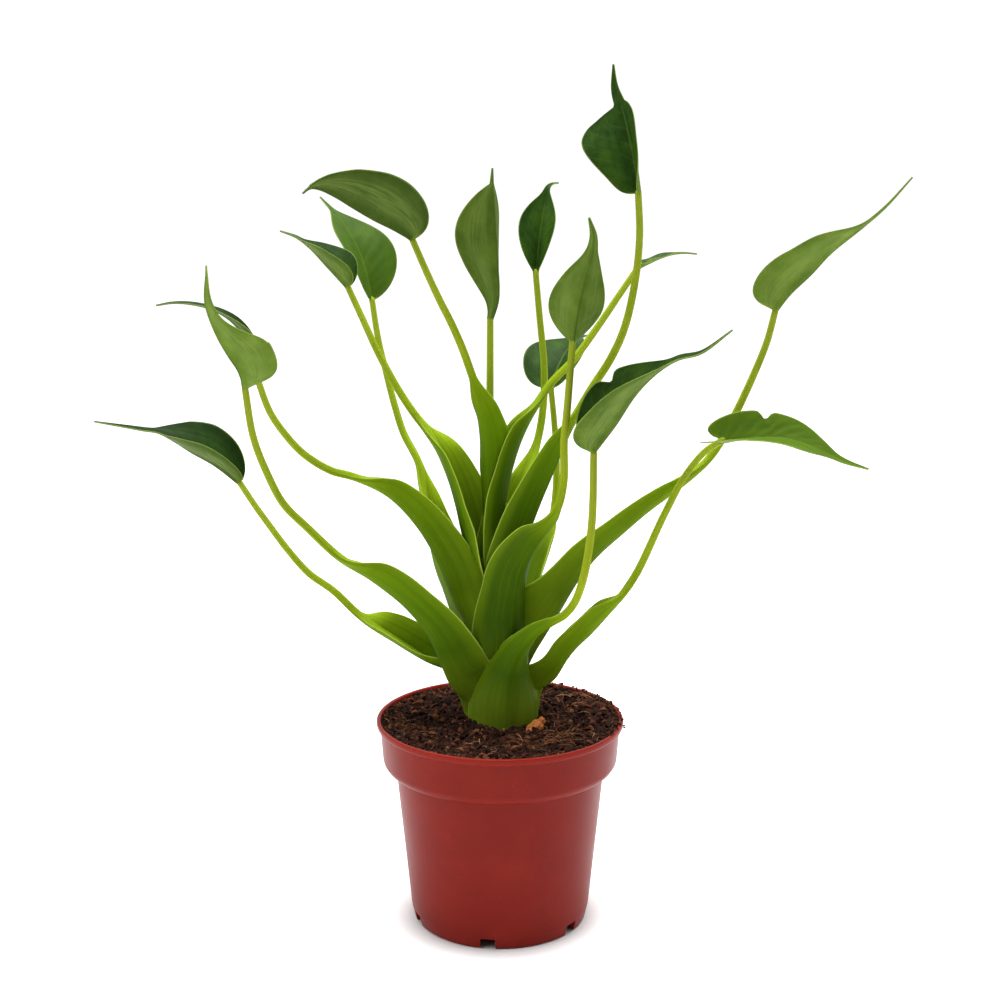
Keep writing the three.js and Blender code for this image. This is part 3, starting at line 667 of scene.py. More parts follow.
def build_blade(leaf, stalk_line):
    start = stalk_line.at(1) + stalk_line.heading(1) * 0.3
    outward, aside = direction_of(leaf["heading"]), direction_of(leaf["heading"] + 90)
    line = Line([start] + [placed(start + (0, 0, r[1]), outward, aside, r) for r in leaf["rib"]])
    body = 1 - leaf["tail"]
    rows = [((k / blade_steps) ** 1.35, None) for k in range(blade_steps + 1)]
    rows += [(1.0, k / tail_steps) for k in range(1, tail_steps + 1)]
    points, normals, below, above = [], [], [], []
    for v, tail in rows:
        share = v * body if tail is None else mixed(body, 1, tail)
        along, up, across = frame_on(line, share, aside, leaf["roll"])
        centre = line.at(share)
        opened = 1 - leaf.get("opening", 0.7) * v
        width = blade_outline(min(v, 0.999), leaf.get("peak", 0.36), leaf.get("base", 0.6),
                              leaf.get("sharp", 1.2))
        drawn = 0.3 + 4.2 * (1 - share) * smooth(share, -0.12, 0.3)
        drawn += leaf.get("flame", 2.5) * (1 - share) ** leaf.get("taper", 1) * smooth(share, 0.3, 0.8)
        row = []
        for column in range(wing_columns):
            u = 2 * column / (wing_columns - 1) - 1
            wing = leaf["wings"][0 if u < 0 else 1] if "wings" in leaf else 1
            arc = leaf["half"] * width * wing
            if "notch" in leaf and u * leaf["notch"][0] > 0:
                bite = math.exp(-(((v - leaf["notch"][1]) / leaf["notch"][3]) ** 2))
                arc *= 1 - leaf["notch"][2] * bite
            arc = math.hypot(arc if tail is None else 0, drawn)
            out, rise, slope = arched(u, arc, math.radians(leaf["fold"]) * opened,
                                      math.radians(leaf["cup"]) * opened)
            back = leaf.get("lobe", 6) * wing * width * u * u * (1 - v) ** 4
            wave = leaf.get("wave", 0.9) * u * u * math.sin(9 * v + 2.4 * leaf["number"] + u) * (1 - v)
            swell = leaf.get("crinkle", 0.1) * math.sin(math.pi * min(abs(u) * 1.1, 1)) * width
            swell *= math.cos(2 * math.pi * (9 * v - 2.2 * abs(u)))
            normal = up * math.cos(slope) - across * math.sin(slope)
            thin = 0.33 * (1 - 0.45 * u ** 8)
            away = abs(u) * arc
            rib = mixed(1.15, 0.12, share ** 0.6) * math.exp(-((away / mixed(1.35, 0.6, share)) ** 2))
            groove = mixed(0.2, 0.05, share) * math.exp(-((away / 0.8) ** 2)) * smooth(v, 0, 0.08)
            point = centre + across * out + up * (rise + wave) - along * back + normal * swell
            row.append((point, normal, thin + rib, max(thin - groove, 0.08)))
        points.append([r[0] for r in row])
        normals.append([r[1] for r in row])
        below.append([r[2] for r in row])
        above.append([r[3] for r in row])
    skin = skin_of(np.array(points), np.array(normals), np.array(below), np.array(above))
    piece = rolled_grid(f"blade_{leaf['number']:02d}", skin)
    note_freshness(piece, leaf["fresh"][1])
    bpy.ops.object.shade_smooth_by_angle(angle=math.radians(70))
    return piece


# %% [markdown]
# ## Green skins
# Both leaf materials read the grid's UV map: V runs up the leaf and U runs round its skin,
# the first half under the leaf and the second half above it. One shared group turns U into
# three useful values: which side it is, how far across, and how near the margin.

# %% Shared group: place on a leaf's skin
group, _, made = new_group("place on the leaf", [], ["Upper", "Across", "Along", "Margin"])
place_group = group
uv = add_node(group, "UVMap", {"uv_map": "UVMap"}).outputs["UV"]
uv_parts = add_node(group, "SeparateXYZ", None, {0: uv}).outputs
upper_side = between(group, uv_parts["X"], 0.49, 0.51)
under_across = sums(group, "MULTIPLY_ADD", uv_parts["X"], 4.0, -1.0)
upper_across = sums(group, "MULTIPLY_ADD", uv_parts["X"], -4.0, 3.0)
across = add_node(group, "Mix", None, {"Factor": upper_side, "A": under_across,
                                       "B": upper_across}).outputs["Result"]
feed(group, made, {"Upper": upper_side, "Across": across, "Along": uv_parts["Y"],
                   "Margin": sums(group, "ABSOLUTE", across)})

# %% Shared group: living tissue, soft blotches and fine grain in real millimetres
group, given, made = new_group("tissue", [("Blotch Scale", 90.0), ("Grain Scale", 1500.0)],
                               ["Blotch", "Grain"])
tissue_group = group
where = add_node(group, "TexCoord").outputs["Object"]
feed(group, made, {"Blotch": cloudy(group, where, given.outputs["Blotch Scale"], 3.0, 0.55),
                   "Grain": cloudy(group, where, given.outputs["Grain Scale"], 2.0)})

# %% [markdown]
# Fine lines run up every sheath and petiole. A noise that is squeezed round the stalk and
# stretched along it draws them, and because it follows the UV map the lines draw together
# where the sheath narrows, as real veins do.

# %% Shared group: lines along a stalk
group, given, made = new_group("lines along the stalk", [("Count", 60.0)], ["Fine", "Broad"])
lines_group = group
uv = add_node(group, "UVMap", {"uv_map": "UVMap"}).outputs["UV"]
fine_scale = add_node(group, "CombineXYZ", None, {"X": given.outputs["Count"], "Y": 2.0}).outputs[0]
fine_place = add_node(group, "VectorMath", {"operation": "MULTIPLY"}, {0: uv, 1: fine_scale}).outputs[0]
broad_place = add_node(group, "VectorMath", {"operation": "MULTIPLY"},
                       {0: uv, 1: (14.0, 1.6, 1.0)}).outputs[0]
feed(group, made, {"Fine": cloudy(group, fine_place, 2.2, 3.0, 0.6),
                   "Broad": cloudy(group, broad_place, 1.5, 2.0)})

# %% [markdown]
# Young leaves are a bright yellow-green and old ones deep green. Each piece carries its own
# freshness, which draws its colour towards one or the other. A blade's two faces are mixed
# from their own greens by the group's Upper value, and a painted sheen, a light band in
# streaks, runs along each wing's middle, where the real leaf's sheen lies.

# %% Fresh and old green
def freshened(tree, colour, old, young):
    """Half way the colour is kept; below, it leans to the old green and above to the young."""
    own = add_node(tree, "Attribute", {"attribute_name": "fresh"}).outputs["Fac"]
    aged = blended(tree, between(tree, own, 0.0, 0.5, 0.7, 0.0), colour, old)
    return blended(tree, between(tree, own, 0.5, 1.0, 0.0, 0.6), aged, young)


# %% Stalk green
stalk_green, tree, shader = new_material("stalk green", 0.5, 0.025)
place = use_group(tree, place_group).outputs
tissue = use_group(tree, tissue_group, {"Blotch Scale": 60.0, "Grain Scale": 1400.0}).outputs
lines = use_group(tree, lines_group, {"Count": 70.0}).outputs
# Up its outer face a stalk darkens just above its foot and turns a brighter yellow-green towards the
# petiole. The lighter foot is partly the sheath's own paler base and partly painted light that makes up
# for the shade near the soil.
outer_face = ramp(tree, place["Along"], [
    (0.0, paint(120, 140, 34)), (0.12, paint(102, 126, 22)), (0.22, paint(66, 96, 6)),
    (0.36, paint(84, 118, 5)), (0.5, paint(104, 136, 8)), (0.58, paint(128, 152, 18)),
    (0.68, paint(156, 172, 34)), (1.0, paint(156, 168, 50))])
inner_face = ramp(tree, place["Along"], [
    (0.0, paint(96, 124, 14)), (0.3, paint(116, 150, 14)), (0.55, paint(146, 172, 28)),
    (1.0, paint(152, 166, 44))])
face = blended(tree, place["Upper"], outer_face, inner_face)
on_sheath = between(tree, place["Along"], 0.45, 0.62, 1.0, 0.0)
face = blended(tree, on_sheath, face, freshened(tree, face, paint(36, 62, 4), paint(150, 172, 24)))
for share, colour in (
        (between(tree, lines["Broad"], 0.4, 0.68, 0.0, 0.3), paint(58, 84, 6)),
        (between(tree, lines["Fine"], 0.5, 0.72, 0.0, 0.12), paint(160, 180, 50)),
        (between(tree, tissue["Blotch"], 0.42, 0.7, 0.0, 0.2), paint(76, 104, 10))):
    face = blended(tree, share, face, colour)
# Towards its margins a sheath is painted lighter, a painted glow of light through the thin tissue. The
# pale line at the very edge is partly the margin's own pale membrane and partly a painted highlight
# where light catches the thin edge.
painted_margin_glow = between(tree, place["Margin"], 0.5, 0.93, 0.0, 0.4)
pale_edge = between(tree, place["Margin"], 0.885, 0.92, 0.0, 0.75)
for share, colour in ((painted_margin_glow, paint(132, 160, 24)), (pale_edge, paint(178, 200, 84))):
    face = blended(tree, sums(tree, "MULTIPLY", share, on_sheath), face, colour)
ridges = raised(tree, lines["Fine"], 0.2, 0.00015)
feed(tree, shader, {
    "Base Color": face, "Normal": raised(tree, tissue["Grain"], 0.12, 0.0001, ridges),
    "Roughness": between(tree, tissue["Blotch"], 0.3, 0.7, 0.46, 0.58),
    "Subsurface Weight": 0.12, "Subsurface Radius": (0.8, 1.0, 0.05), "Subsurface Scale": 0.0025})

# %% [markdown]
# The blade is deep green and satin above, paler and greyer beneath. Side veins leave the
# midrib and run forward to the margin: with the distance across and the place along, a
# repeated ramp draws them, bent a little by noise so that no two are alike.

# %% Shared group: veins of a blade
group, given, made = new_group("veins of a blade", [("Across", 0.0), ("Along", 0.0), ("Pairs", 9.0)],
                               ["Vein", "Swell"])
veins_group = group
drift = cloudy(group, add_node(group, "TexCoord").outputs["Object"], 120.0, 1.0)
away = sums(group, "ABSOLUTE", given.outputs["Across"])
slanted = sums(group, "MULTIPLY_ADD", away, -0.24, given.outputs["Along"])
bent = sums(group, "MULTIPLY_ADD", drift, 0.05, slanted)
turn = sums(group, "FRACT", sums(group, "MULTIPLY", bent, given.outputs["Pairs"]))
from_vein = sums(group, "ABSOLUTE", sums(group, "SUBTRACT", turn, 0.5))
feed(group, made, {"Vein": between(group, from_vein, 0.0, 0.09, 1.0, 0.0),
                   "Swell": between(group, from_vein, 0.0, 0.5)})

# %% Blade green
blade_green, tree, shader = new_material("blade green", 0.45, 0.045)
place = use_group(tree, place_group).outputs
tissue = use_group(tree, tissue_group, {"Blotch Scale": 110.0, "Grain Scale": 2200.0}).outputs
veins = use_group(tree, veins_group, {"Across": place["Across"], "Along": place["Along"],
                                      "Pairs": 9.0}).outputs
# Streaks along the blade that break up its painted sheen.
sheen_streaks = use_group(tree, lines_group, {"Count": 34.0}).outputs
upper_face = ramp(tree, tissue["Blotch"], [
    (0.3, paint(26, 50, 10)), (0.52, paint(38, 66, 16)), (0.75, paint(56, 84, 20))])
under_face = ramp(tree, tissue["Blotch"], [
    (0.3, paint(82, 108, 32)), (0.52, paint(96, 122, 40)), (0.75, paint(114, 138, 50))])
upper_veined = blended(tree, sums(tree, "MULTIPLY", veins["Vein"], 0.12), upper_face,
                       paint(86, 118, 44))
under_veined = blended(tree, sums(tree, "MULTIPLY", veins["Vein"], 0.16), under_face,
                       paint(64, 98, 28))
face = blended(tree, place["Upper"],
               freshened(tree, under_veined, paint(44, 64, 16), paint(126, 152, 46)),
               freshened(tree, upper_veined, paint(14, 32, 6), paint(106, 138, 30)))
# Painted sheen: a lighter band along the middle of each wing, broken into streaks.
wing_middle = sums(tree, "MULTIPLY", between(tree, place["Margin"], 0.1, 0.4),
                   between(tree, place["Margin"], 0.5, 0.9, 1.0, 0.0))
painted_sheen = sums(tree, "MULTIPLY", wing_middle, between(tree, sheen_streaks["Fine"], 0.3, 0.7, 0.05, 0.38))
# Along the keel the under face is painted darker, a painted shade in the fold there; on the upper face
# the same line is the midrib's own paler green.
midrib = sums(tree, "MULTIPLY", between(tree, place["Margin"], 0.0, 0.05, 1.0, 0.0),
              between(tree, place["Along"], 0.0, 0.85, 0.8, 0.4))
for share, colour in (
        (painted_sheen, blended(tree, place["Upper"], paint(140, 164, 84), paint(62, 96, 34))),
        (midrib, blended(tree, place["Upper"], paint(66, 88, 32), paint(84, 116, 40))),
        (between(tree, place["Along"], 0.0, 0.06, 0.75, 0.0), paint(126, 148, 36)),
        (between(tree, place["Margin"], 0.915, 0.945, 0.0, 0.6), paint(140, 160, 76))):
    face = blended(tree, share, face, colour)
swells = raised(tree, veins["Swell"], 0.12, 0.0003)
rough = add_node(tree, "Mix", None, {"Factor": place["Upper"], "A": 0.55, "B": 0.42}).outputs["Result"]
feed(tree, shader, {
    "Base Color": face, "Normal": raised(tree, tissue["Grain"], 0.1, 0.00012, swells),
    "Roughness": rough, "Subsurface Weight": 0.1, "Subsurface Radius": (0.4, 1.0, 0.2),
    "Subsurface Scale": 0.001})

# %% [markdown]
# Now the plant grows. The outermost leaf comes first, so that each inner one knows all the
# sheaths that it has to dive under.

# %% Growing the plant, from the outermost leaf inwards
outer_trees = []
for leaf in leaves:
    stalk, stalk_tree, stalk_line = build_stalk(leaf, outer_trees)
    hand_over(stalk, [f"leaf_{leaf['number']:02d}_stalk"], stalk_green)
    outer_trees.append(stalk_tree)
    blade = build_blade(leaf, stalk_line)
    hand_over(blade, [f"leaf_{leaf['number']:02d}_blade"], blade_green)
    print(leaf["number"], "stalk", len(stalk.data.polygons), "blade", len(blade.data.polygons))

# %% [markdown]
# ## The stem
# Only a glimpse of the stem shows between the sheaths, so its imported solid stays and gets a
# fibrous green skin of its own.

# %% Stem skin
stem_skin, tree, shader = new_material("stem skin", 0.6, 0.3)
tissue = use_group(tree, tissue_group, {"Blotch Scale": 180.0, "Grain Scale": 1200.0}).outputs
feed(tree, shader, {
    "Base Color": ramp(tree, tissue["Blotch"], [
        (0.3, paint(66, 92, 24)), (0.55, paint(92, 122, 34)), (0.8, paint(128, 140, 58))]),
    "Normal": raised(tree, tissue["Grain"], 0.4, 0.0004)})
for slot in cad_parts["stem"].material_slots:
    slot.material = stem_skin

# %% [markdown]
# ## The nursery pot
# A thin injection-moulded pot has a rolled lip, a wide collar that stacks, a tapered body and
# slots at its foot that let water out. It is drawn ring by ring: a circle is extruded and
# scaled along the wall's outline, outside first, over the lip and down inside.

# %% Outline of the wall, corners rounded
pot_outline = [
    (12.0, 0.0, 0.3), (14.0, 3.2, 0.3), (40.7, 3.2, 0.3), (41.0, 0.0, 0.3), (42.5, 0.0, 0.5),
    (43.9, 6.0, 1.5), (50.9, 76.2, 0.8), (54.6, 76.8, 1.6), (57.0, 79.8, 1.8), (58.3, 97.0, 0.5),
    (60.0, 98.0, 0.7), (60.0, 100.6, 1.1), (58.1, 100.5, 0.7), (57.4, 97.0, 1.0), (55.8, 80.4, 0.6),
    (49.7, 78.0, 0.6), (42.5, 6.0, 0.6), (41.8, 4.5, 0.4), (13.4, 4.5, 0.4), (11.2, 1.3, 0.3),
]


def rounded(outline):
    """Each inner corner (radius, height, rounding) of an outline becomes a small arc."""
    corners = [Vector((r, z)) for r, z, _ in outline]
    made = [tuple(corners[0])]
    for (_, _, soft), before, corner, after in zip(outline[1:-1], corners, corners[1:], corners[2:]):
        to_before, to_after = (before - corner), (after - corner)
        cut = min(soft, to_before.length * 0.45, to_after.length * 0.45)
        first, last = corner + to_before.normalized() * cut, corner + to_after.normalized() * cut
        for t in (0.0, 0.25, 0.5, 0.75, 1.0):
            made.append(tuple(first * (1 - t) ** 2 + corner * 2 * t * (1 - t) + last * t ** 2))
    made.append(tuple(corners[-1]))
    return made


pot_rings = rounded(pot_outline)
print("rings of the pot", len(pot_rings))

# %% Drawing the pot up
pot_sides = 160
start_clean()
bpy.ops.mesh.primitive_circle_add(vertices=pot_sides, radius=pot_rings[0][0] * mm,
                                  location=(0, 0, pot_rings[0][1] * mm))
pot = bpy.context.active_object
pot.name = "nursery_pot"
bpy.ops.object.transform_apply(location=True)
bpy.ops.object.mode_set(mode="EDIT")
bpy.ops.mesh.select_all(action="SELECT")
bpy.ops.mesh.edge_face_add()
bpy.ops.mesh.select_all(action="SELECT")
bpy.ops.mesh.region_to_loop()
for (radius, height), (next_radius, next_height) in zip(pot_rings, pot_rings[1:]):
    rise = (next_height - height) * mm
    bpy.ops.mesh.extrude_edges_move(TRANSFORM_OT_translate={"value": (0, 0, rise)})
    grow = next_radius / radius
    bpy.ops.transform.resize(value=(grow, grow, 1), center_override=(0, 0, 0))
bpy.ops.mesh.edge_face_add()
bpy.ops.mesh.select_all(action="SELECT")
bpy.ops.mesh.normals_make_consistent(inside=False)
bpy.ops.object.mode_set(mode="OBJECT")
print("pot size", [round(d / mm, 1) for d in pot.dimensions])

# %% Slots at the foot
slot_width = 7.0
slot_height = 5.2
slot_depth = 10.0
slot_turn = 262.2
slots = 6
foot_radius = 41.5
start_clean()
bpy.ops.mesh.primitive_cube_add(size=1, location=(foot_radius * mm, 0, 0))
cutter = bpy.context.active_object
cutter.scale = (slot_depth * mm, slot_width * mm, 2 * slot_height * mm)
bpy.ops.object.transform_apply(location=True, rotation=True, scale=True)
bpy.ops.object.mode_set(mode="EDIT")
bpy.ops.mesh.select_all(action="SELECT")
bpy.ops.transform.rotate(value=-math.radians(slot_turn), orient_axis="Z", center_override=(0, 0, 0))
for _ in range(slots - 1):
    bpy.ops.mesh.duplicate()
    bpy.ops.transform.rotate(value=-2 * math.pi / slots, orient_axis="Z", center_override=(0, 0, 0))
bpy.ops.object.mode_set(mode="OBJECT")
pick(pot)
cut = pot.modifiers.new("slots", "BOOLEAN")
cut.operation = "DIFFERENCE"
cut.object = cutter
bpy.ops.object.modifier_apply(modifier=cut.name)
bpy.data.objects.remove(cutter)
bpy.ops.object.shade_smooth_by_angle(angle=math.radians(40))

# %% [markdown]
# Moulded plastic of this kind is brick red with a satin sheen. Faint mottling, pale scuffs
# and smears of dried soil below the lip keep it from looking new out of the mould, and the
# thin lip is a little brighter because light passes through it.

# %% Pot plastic
pot_plastic, tree, shader = new_material("pot plastic", 0.34, 0.12)
where = add_node(tree, "TexCoord").outputs["Object"]
height = add_node(tree, "SeparateXYZ", None, {0: where}).outputs["Z"]
clouds = cloudy(tree, where, 38.0, 4.0, 0.6)
speckle = cloudy(tree, where, 900.0, 2.0)
face = ramp(tree, clouds, [
    (0.3, paint(126, 25, 15)), (0.5, paint(131, 27, 16)), (0.72, paint(138, 31, 19))])
on_lip = between(tree, height, 0.0968, 0.0985)
dust = sums(tree, "MULTIPLY", between(tree, cloudy(tree, where, 160.0, 6.0, 0.7), 0.56, 0.7),
            between(tree, height, 0.06, 0.1, 0.06, 0.5))
for share, colour in ((sums(tree, "MULTIPLY", on_lip, 0.3), paint(160, 44, 28)),
                      (sums(tree, "MULTIPLY", dust, 0.5), paint(96, 52, 38)),
                      (between(tree, speckle, 0.68, 0.8, 0.0, 0.3), paint(182, 96, 78))):
    face = blended(tree, share, face, colour)
satin = between(tree, clouds, 0.3, 0.7, 0.3, 0.38)
feed(tree, shader, {"Base Color": face, "Roughness": sums(tree, "MULTIPLY_ADD", dust, 0.3, satin),
                    "Normal": raised(tree, speckle, 0.08, 0.0003)})
hand_over(pot, ["pot"], pot_plastic)

# %% [markdown]
# ## The soil
# Potting mix of coir and peat is a rough, lumpy bed with loose crumbs, short fibres and a few
# chips on it, heaped a little at the back right. The bed is a disc of rings rolled from a
# grid, raised by noise at three sizes. Crumbs are copies of one, each fibre has its own bend.

# %% Height of the bed
soil_level = 98.2
soil_radius = 57.3


def from_stem(x, y):
    return math.hypot(x - stem_foot[0], y - stem_foot[1])


def soil_height(x, y):
    """Loose lumps with gaps between them, heaped at the back right and drawn up at the stem."""
    ripple = noise.fractal(Vector((x * 0.11, y * 0.11, 3.3)), 0.9, 2.1, 3)
    near, far = noise.voronoi(Vector((x * 0.24, y * 0.24, 1.7 + 0.3 * ripple)))[0][:2]
    clod = min((far - near) * 2.2, 1)
    near, far = noise.voronoi(Vector((x * 0.62, y * 0.62, 5.1)))[0][:2]
    grain = min((far - near) * 2.0, 1)
    edge = 1 - smooth(math.hypot(x, y), 50, soil_radius)
    heap = 2.4 * math.exp(-(((x - 40) / 20) ** 2) - (((y - 20) / 24) ** 2))
    crown = from_stem(x, y)
    hug = 1.2 * math.exp(-((crown - 17.5) / 3.0) ** 2)
    rough = (1.3 * ripple + 1.5 * clod + 0.6 * grain) * mixed(0.45, 1, edge)
    return soil_level - 0.2 * edge + heap + hug + rough


# %% The bed
bed_rings = 84
bed_spokes = 240
inner_wall = ((56.9, 93.0), (55.5, 80.6), (49.4, 78.3), (42.2, 6.2), (41.4, 4.9), (0.0, 4.9))
spokes = [(math.cos(a), math.sin(a)) for a in np.linspace(0, 2 * math.pi, bed_spokes + 1)]
bed_rows = []
for ring in range(bed_rings + 1):
    r = soil_radius * (ring / bed_rings) ** 0.8
    bed_rows.append([(r * x, r * y, soil_height(r * x, r * y)) for x, y in spokes])
for r, z in inner_wall:
    bed_rows.append([(r * x, r * y, z) for x, y in spokes])
bed = rolled_grid("soil_bed", np.array(bed_rows))
bpy.ops.object.shade_smooth_by_angle(angle=math.radians(60))
print("soil bed", len(bed.data.polygons))

# %% [markdown]
# Crumbs: an icosphere is squashed and dented into one crumb, and thousands of copies of its
# points are turned, stretched and strewn over the bed in one mesh. They stay off the stem.

# %% One crumb and its copies
chance = random.Random(41)
start_clean()
bpy.ops.mesh.primitive_ico_sphere_add(subdivisions=1, radius=1)
crumb_seed = bpy.context.active_object
bpy.ops.object.mode_set(mode="EDIT")
bpy.ops.mesh.select_all(action="SELECT")
bpy.ops.transform.vertex_random(offset=0.35, seed=5)
bpy.ops.transform.resize(value=(1.2, 0.9, 0.75))
bpy.ops.object.mode_set(mode="OBJECT")
crumb_points = np.array([v.co[:] for v in crumb_seed.data.vertices])
crumb_faces = np.array([p.vertices[:] for p in crumb_seed.data.polygons])
bpy.data.objects.remove(crumb_seed)


def random_turn(rng):
    axis = Vector((rng.uniform(-1, 1), rng.uniform(-1, 1), rng.uniform(-1, 1))).normalized()
    return np.array(axis.to_track_quat("Z", "Y").to_matrix())


def strewn(rng, inner=19.5, outer=56.0):
    """A random place on the bed, clear of the stem."""
    while True:
        x, y = rng.uniform(-outer, outer), rng.uniform(-outer, outer)
        if math.hypot(x, y) < outer and from_stem(x, y) > inner:
            return x, y


def joined_copies(name, copies, faces_each):
    """One mesh of many placed copies: each copy is its points, all with the same faces."""
    count = len(copies[0])
    points = np.concatenate(copies) * mm
    faces = np.concatenate([faces_each + k * count for k in range(len(copies))])
    mesh = bpy.data.meshes.new(name)
    mesh.from_pydata(points.tolist(), [], faces.tolist())
    shade = mesh.attributes.new("shade", "FLOAT", "POINT")
    rng = random.Random(len(copies))
    shades = np.repeat([rng.random() for _ in copies], count)
    shade.data.foreach_set("value", shades.astype(np.float32))
    piece = bpy.data.objects.new(name, mesh)
    bpy.context.scene.collection.objects.link(piece)
    pick(piece)
    bpy.ops.object.mode_set(mode="EDIT")
    bpy.ops.mesh.select_all(action="SELECT")
    bpy.ops.mesh.normals_make_consistent(inside=False)
    bpy.ops.object.mode_set(mode="OBJECT")
    return piece


def crumb_at(rng, x, y, z, size, flat=0.6):
    stretch = np.array([rng.uniform(0.7, 1.6), rng.uniform(0.7, 1.3),
                        rng.uniform(flat, 1.0) * min(flat * 2, 1)])
    return (crumb_points * stretch * size) @ random_turn(rng).T + [x, y, z]


def crumb_on_ring(rng, angle, radius, size, z=None):
    """A crumb near the rim: on the bed there, or at a height of its own on the lip."""
    x, y = radius * math.cos(angle), radius * math.sin(angle)
    return crumb_at(rng, x, y, soil_height(x, y) + 0.3 if z is None else z, size)


loose_crumbs = 3600
flat_chips = 150
rim_crumbs = 1500
lip_crumbs = 110
crumb_copies = []
for _ in range(loose_crumbs):
    x, y = strewn(chance)
    size = 0.28 + 1.5 * chance.random() ** 4
    crumb_copies.append(crumb_at(chance, x, y, soil_height(x, y) + 0.3 * size, size))
for _ in range(flat_chips):
    x, y = strewn(chance)
    size = chance.uniform(0.9, 1.9)
    crumb_copies.append(crumb_at(chance, x, y, soil_height(x, y) + 0.5, size, 0.16))
for _ in range(rim_crumbs):
    angle, radius = chance.uniform(0, 2 * math.pi), chance.uniform(55.0, 58.3)
    crumb_copies.append(crumb_on_ring(chance, angle, radius, 0.3 + 0.9 * chance.random() ** 2))
for _ in range(lip_crumbs):
    angle, radius = math.radians(chance.uniform(-30, 120)), chance.uniform(58.0, 59.6)
    crumb_copies.append(crumb_on_ring(chance, angle, radius, chance.uniform(0.25, 0.7), 101.0))
for x, y, z, size in ((60.2, -7, 97.2, 0.7), (59.6, -11, 99.6, 0.6)):
    crumb_copies.append(crumb_at(chance, x, y, z, size))
crumbs = joined_copies("soil_crumbs", crumb_copies, crumb_faces)
print("crumbs", len(crumb_copies))

# %% [markdown]
# Fibres: coir is fine brown hair, so a fibre is a thin three-sided rod bent in an arc. It is
# laid down ring by ring along the bed, and some hundreds of them make one mesh.

# %% Fibres
fibre_steps = 5
fibre_faces = np.array([(3 * k + a, 3 * k + b, 3 * k + b + 3, 3 * k + a + 3)
                        for k in range(fibre_steps) for a, b in ((0, 1), (1, 2), (2, 0))])


def fibre_points(rng, place, length, thick, lift):
    turn = rng.uniform(0, 2 * math.pi)
    curl = rng.uniform(-1.6, 1.6)
    points = []
    x, y, z = place
    step = length / fibre_steps
    for k in range(fibre_steps + 1):
        t = k / fibre_steps
        taper = thick * (1 - 0.75 * abs(2 * t - 1) ** 3)
        for side in range(3):
            a = 2 * math.pi * side / 3
            points.append((x - math.sin(turn) * math.cos(a) * taper,
                           y + math.cos(turn) * math.cos(a) * taper, z + math.sin(a) * taper))
        turn += curl / fibre_steps
        x, y = x + math.cos(turn) * step, y + math.sin(turn) * step
        if math.hypot(x, y) > 56.5:
            x, y = x * 0.985, y * 0.985
        z = max(z + lift * (1 - 2 * t) * step, soil_height(x, y) + 0.1)
    return np.array(points)


loose_fibres = 240
fibre_tufts = ((30, -24, 80), (14, -36, 26), (-48, -12, 50), (38, 16, 44), (-8, -44, 24))
fibre_copies = []
for _ in range(loose_fibres):
    x, y = strewn(chance)
    fibre_copies.append(fibre_points(chance, (x, y, soil_height(x, y) + 0.2), chance.uniform(2, 9),
                                     chance.uniform(0.06, 0.15), chance.uniform(0.0, 0.6)))
for middle_x, middle_y, count in fibre_tufts:
    for _ in range(count):
        x, y = chance.gauss(middle_x, 6), chance.gauss(middle_y, 7)
        if from_stem(x, y) > 20 and math.hypot(x, y) < 54:
            start = (x, y, soil_height(x, y) + 0.3)
            fibre_copies.append(fibre_points(chance, start, chance.uniform(3, 11),
                                             chance.uniform(0.09, 0.2), chance.uniform(0.1, 0.8)))
fibres = joined_copies("soil_fibres", fibre_copies, fibre_faces)
print("fibres", len(fibre_copies))

# %% [markdown]
# The mix is dark brown when moist. Reddish peat, tan coir and near-black bits lie side by
# side, so the colour comes from noise, and each crumb and fibre has a shade of its own in an
# attribute that its material reads.

# %% Soil colours
def soil_material(name, stops, scale, own_shade=False):
    made, tree, shader = new_material(name, 0.95, 0.15)
    where = add_node(tree, "TexCoord").outputs["Object"]
    value = cloudy(tree, where, scale, 5.0, 0.7)
    if own_shade:
        own = add_node(tree, "Attribute", {"attribute_name": "shade"}).outputs["Fac"]
        value = sums(tree, "MULTIPLY_ADD", own, 0.75, sums(tree, "MULTIPLY", value, 0.3))
    feed(tree, shader, {"Base Color": ramp(tree, value, stops),
                        "Normal": raised(tree, cloudy(tree, where, 2400.0, 3.0), 0.6, 0.0003)})
    return made


bed_soil = soil_material("moist potting mix", [
    (0.3, paint(18, 10, 8)), (0.48, paint(38, 21, 15)), (0.6, paint(58, 32, 22)),
    (0.75, paint(84, 52, 34))], 420.0)
crumb_soil = soil_material("peat crumbs", [
    (0.1, paint(18, 11, 9)), (0.4, paint(42, 22, 16)), (0.62, paint(66, 35, 24)),
    (0.82, paint(98, 56, 36)), (0.98, paint(150, 104, 70))], 700.0, True)
fibre_tan = soil_material("coir fibre", [
    (0.1, paint(62, 34, 22)), (0.45, paint(108, 66, 42)), (0.7, paint(146, 98, 64)),
    (0.95, paint(190, 150, 108))], 300.0, True)
hand_over(bed, ["soil"], bed_soil)
hand_over(crumbs, [], crumb_soil)
hand_over(fibres, [], fibre_tan)

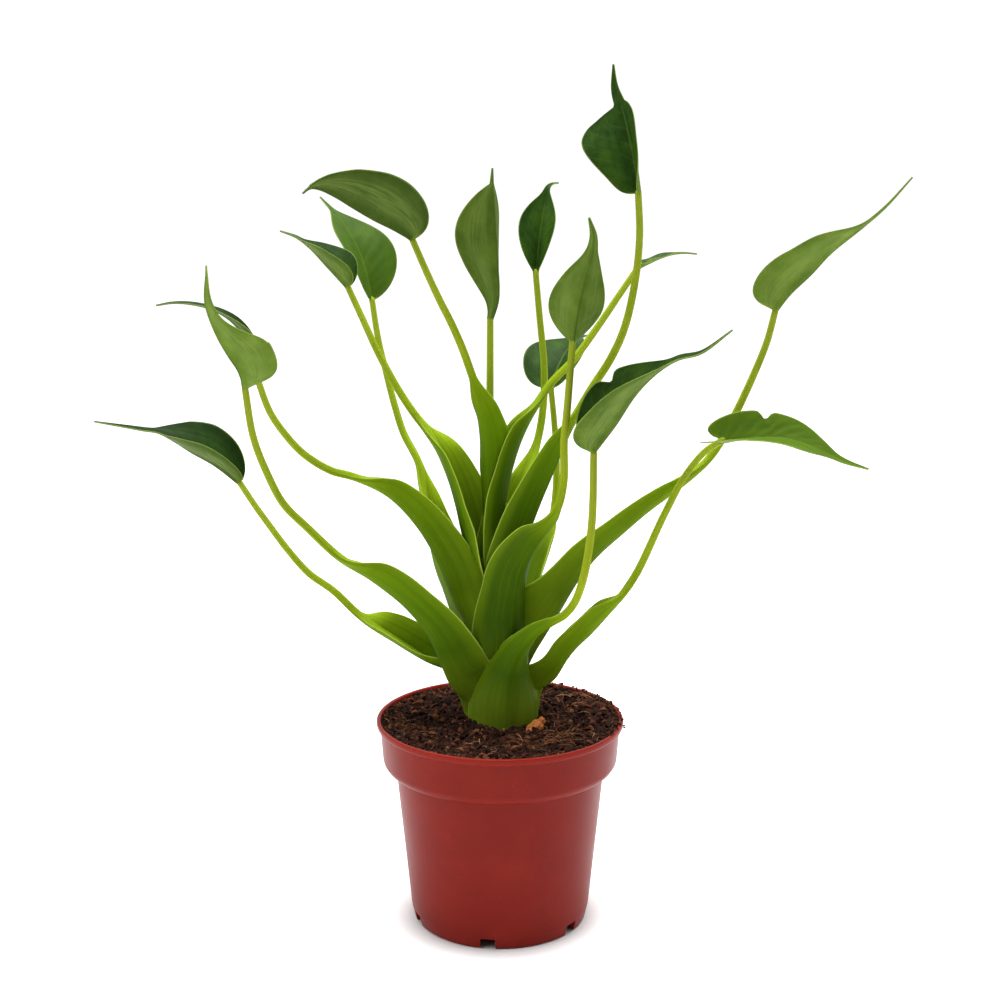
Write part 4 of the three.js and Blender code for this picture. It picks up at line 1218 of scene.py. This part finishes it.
# %% [markdown]
# ## The bark chip
# One orange-brown chip of bark leans near the stem. It starts as a cube, is cut into small
# faces, narrowed at one end and dented all over, so that it is as ragged as torn bark. A
# subdivision surface then wears its edges.

# %% Chip of bark
chip_size = (11.5 * mm, 6.4 * mm, 3.4 * mm)
chip_lean = math.radians(-34)
chip_turn = math.radians(24)
nearer_stem = Vector((-3.2 * mm, 0, 1.6 * mm))
chip_low, chip_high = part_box("bark_chip")
chip_place = (chip_low + chip_high) / 2 + nearer_stem
start_clean()
bpy.ops.mesh.primitive_cube_add(size=1, location=(0, 0, 0))
chip = bpy.context.active_object
chip.name = "chip_of_bark"
bpy.ops.object.mode_set(mode="EDIT")
bpy.ops.mesh.select_all(action="SELECT")
bpy.ops.transform.resize(value=chip_size, center_override=(0, 0, 0))
bpy.ops.mesh.subdivide(number_cuts=9, smoothness=0)
bpy.ops.mesh.select_all(action="DESELECT")
bpy.ops.object.mode_set(mode="OBJECT")
for corner in chip.data.vertices:
    corner.select = corner.co.x > 2.4 * mm
bpy.ops.object.mode_set(mode="EDIT")
bpy.ops.transform.resize(value=(1.0, 0.55, 0.6), center_override=(0, 1.1 * mm, 0.4 * mm))
bpy.ops.mesh.select_all(action="SELECT")
bpy.ops.transform.vertex_random(offset=0.7 * mm, seed=3)
bpy.ops.transform.rotate(value=-chip_lean, orient_axis="Y", center_override=(0, 0, 0))
bpy.ops.transform.rotate(value=-chip_turn, orient_axis="Z", center_override=(0, 0, 0))
bpy.ops.transform.translate(value=chip_place)
bpy.ops.object.mode_set(mode="OBJECT")
soften = chip.modifiers.new("worn", "SUBSURF")
soften.levels = soften.render_levels = 1
bpy.ops.object.modifier_apply(modifier=soften.name)
bpy.ops.object.shade_smooth_by_angle(angle=math.radians(50))
bark = soil_material("torn bark", [
    (0.3, paint(128, 66, 30)), (0.46, paint(196, 112, 54)), (0.6, paint(222, 146, 84)),
    (0.8, paint(236, 186, 138))], 500.0)
hand_over(chip, ["bark_chip"], bark)
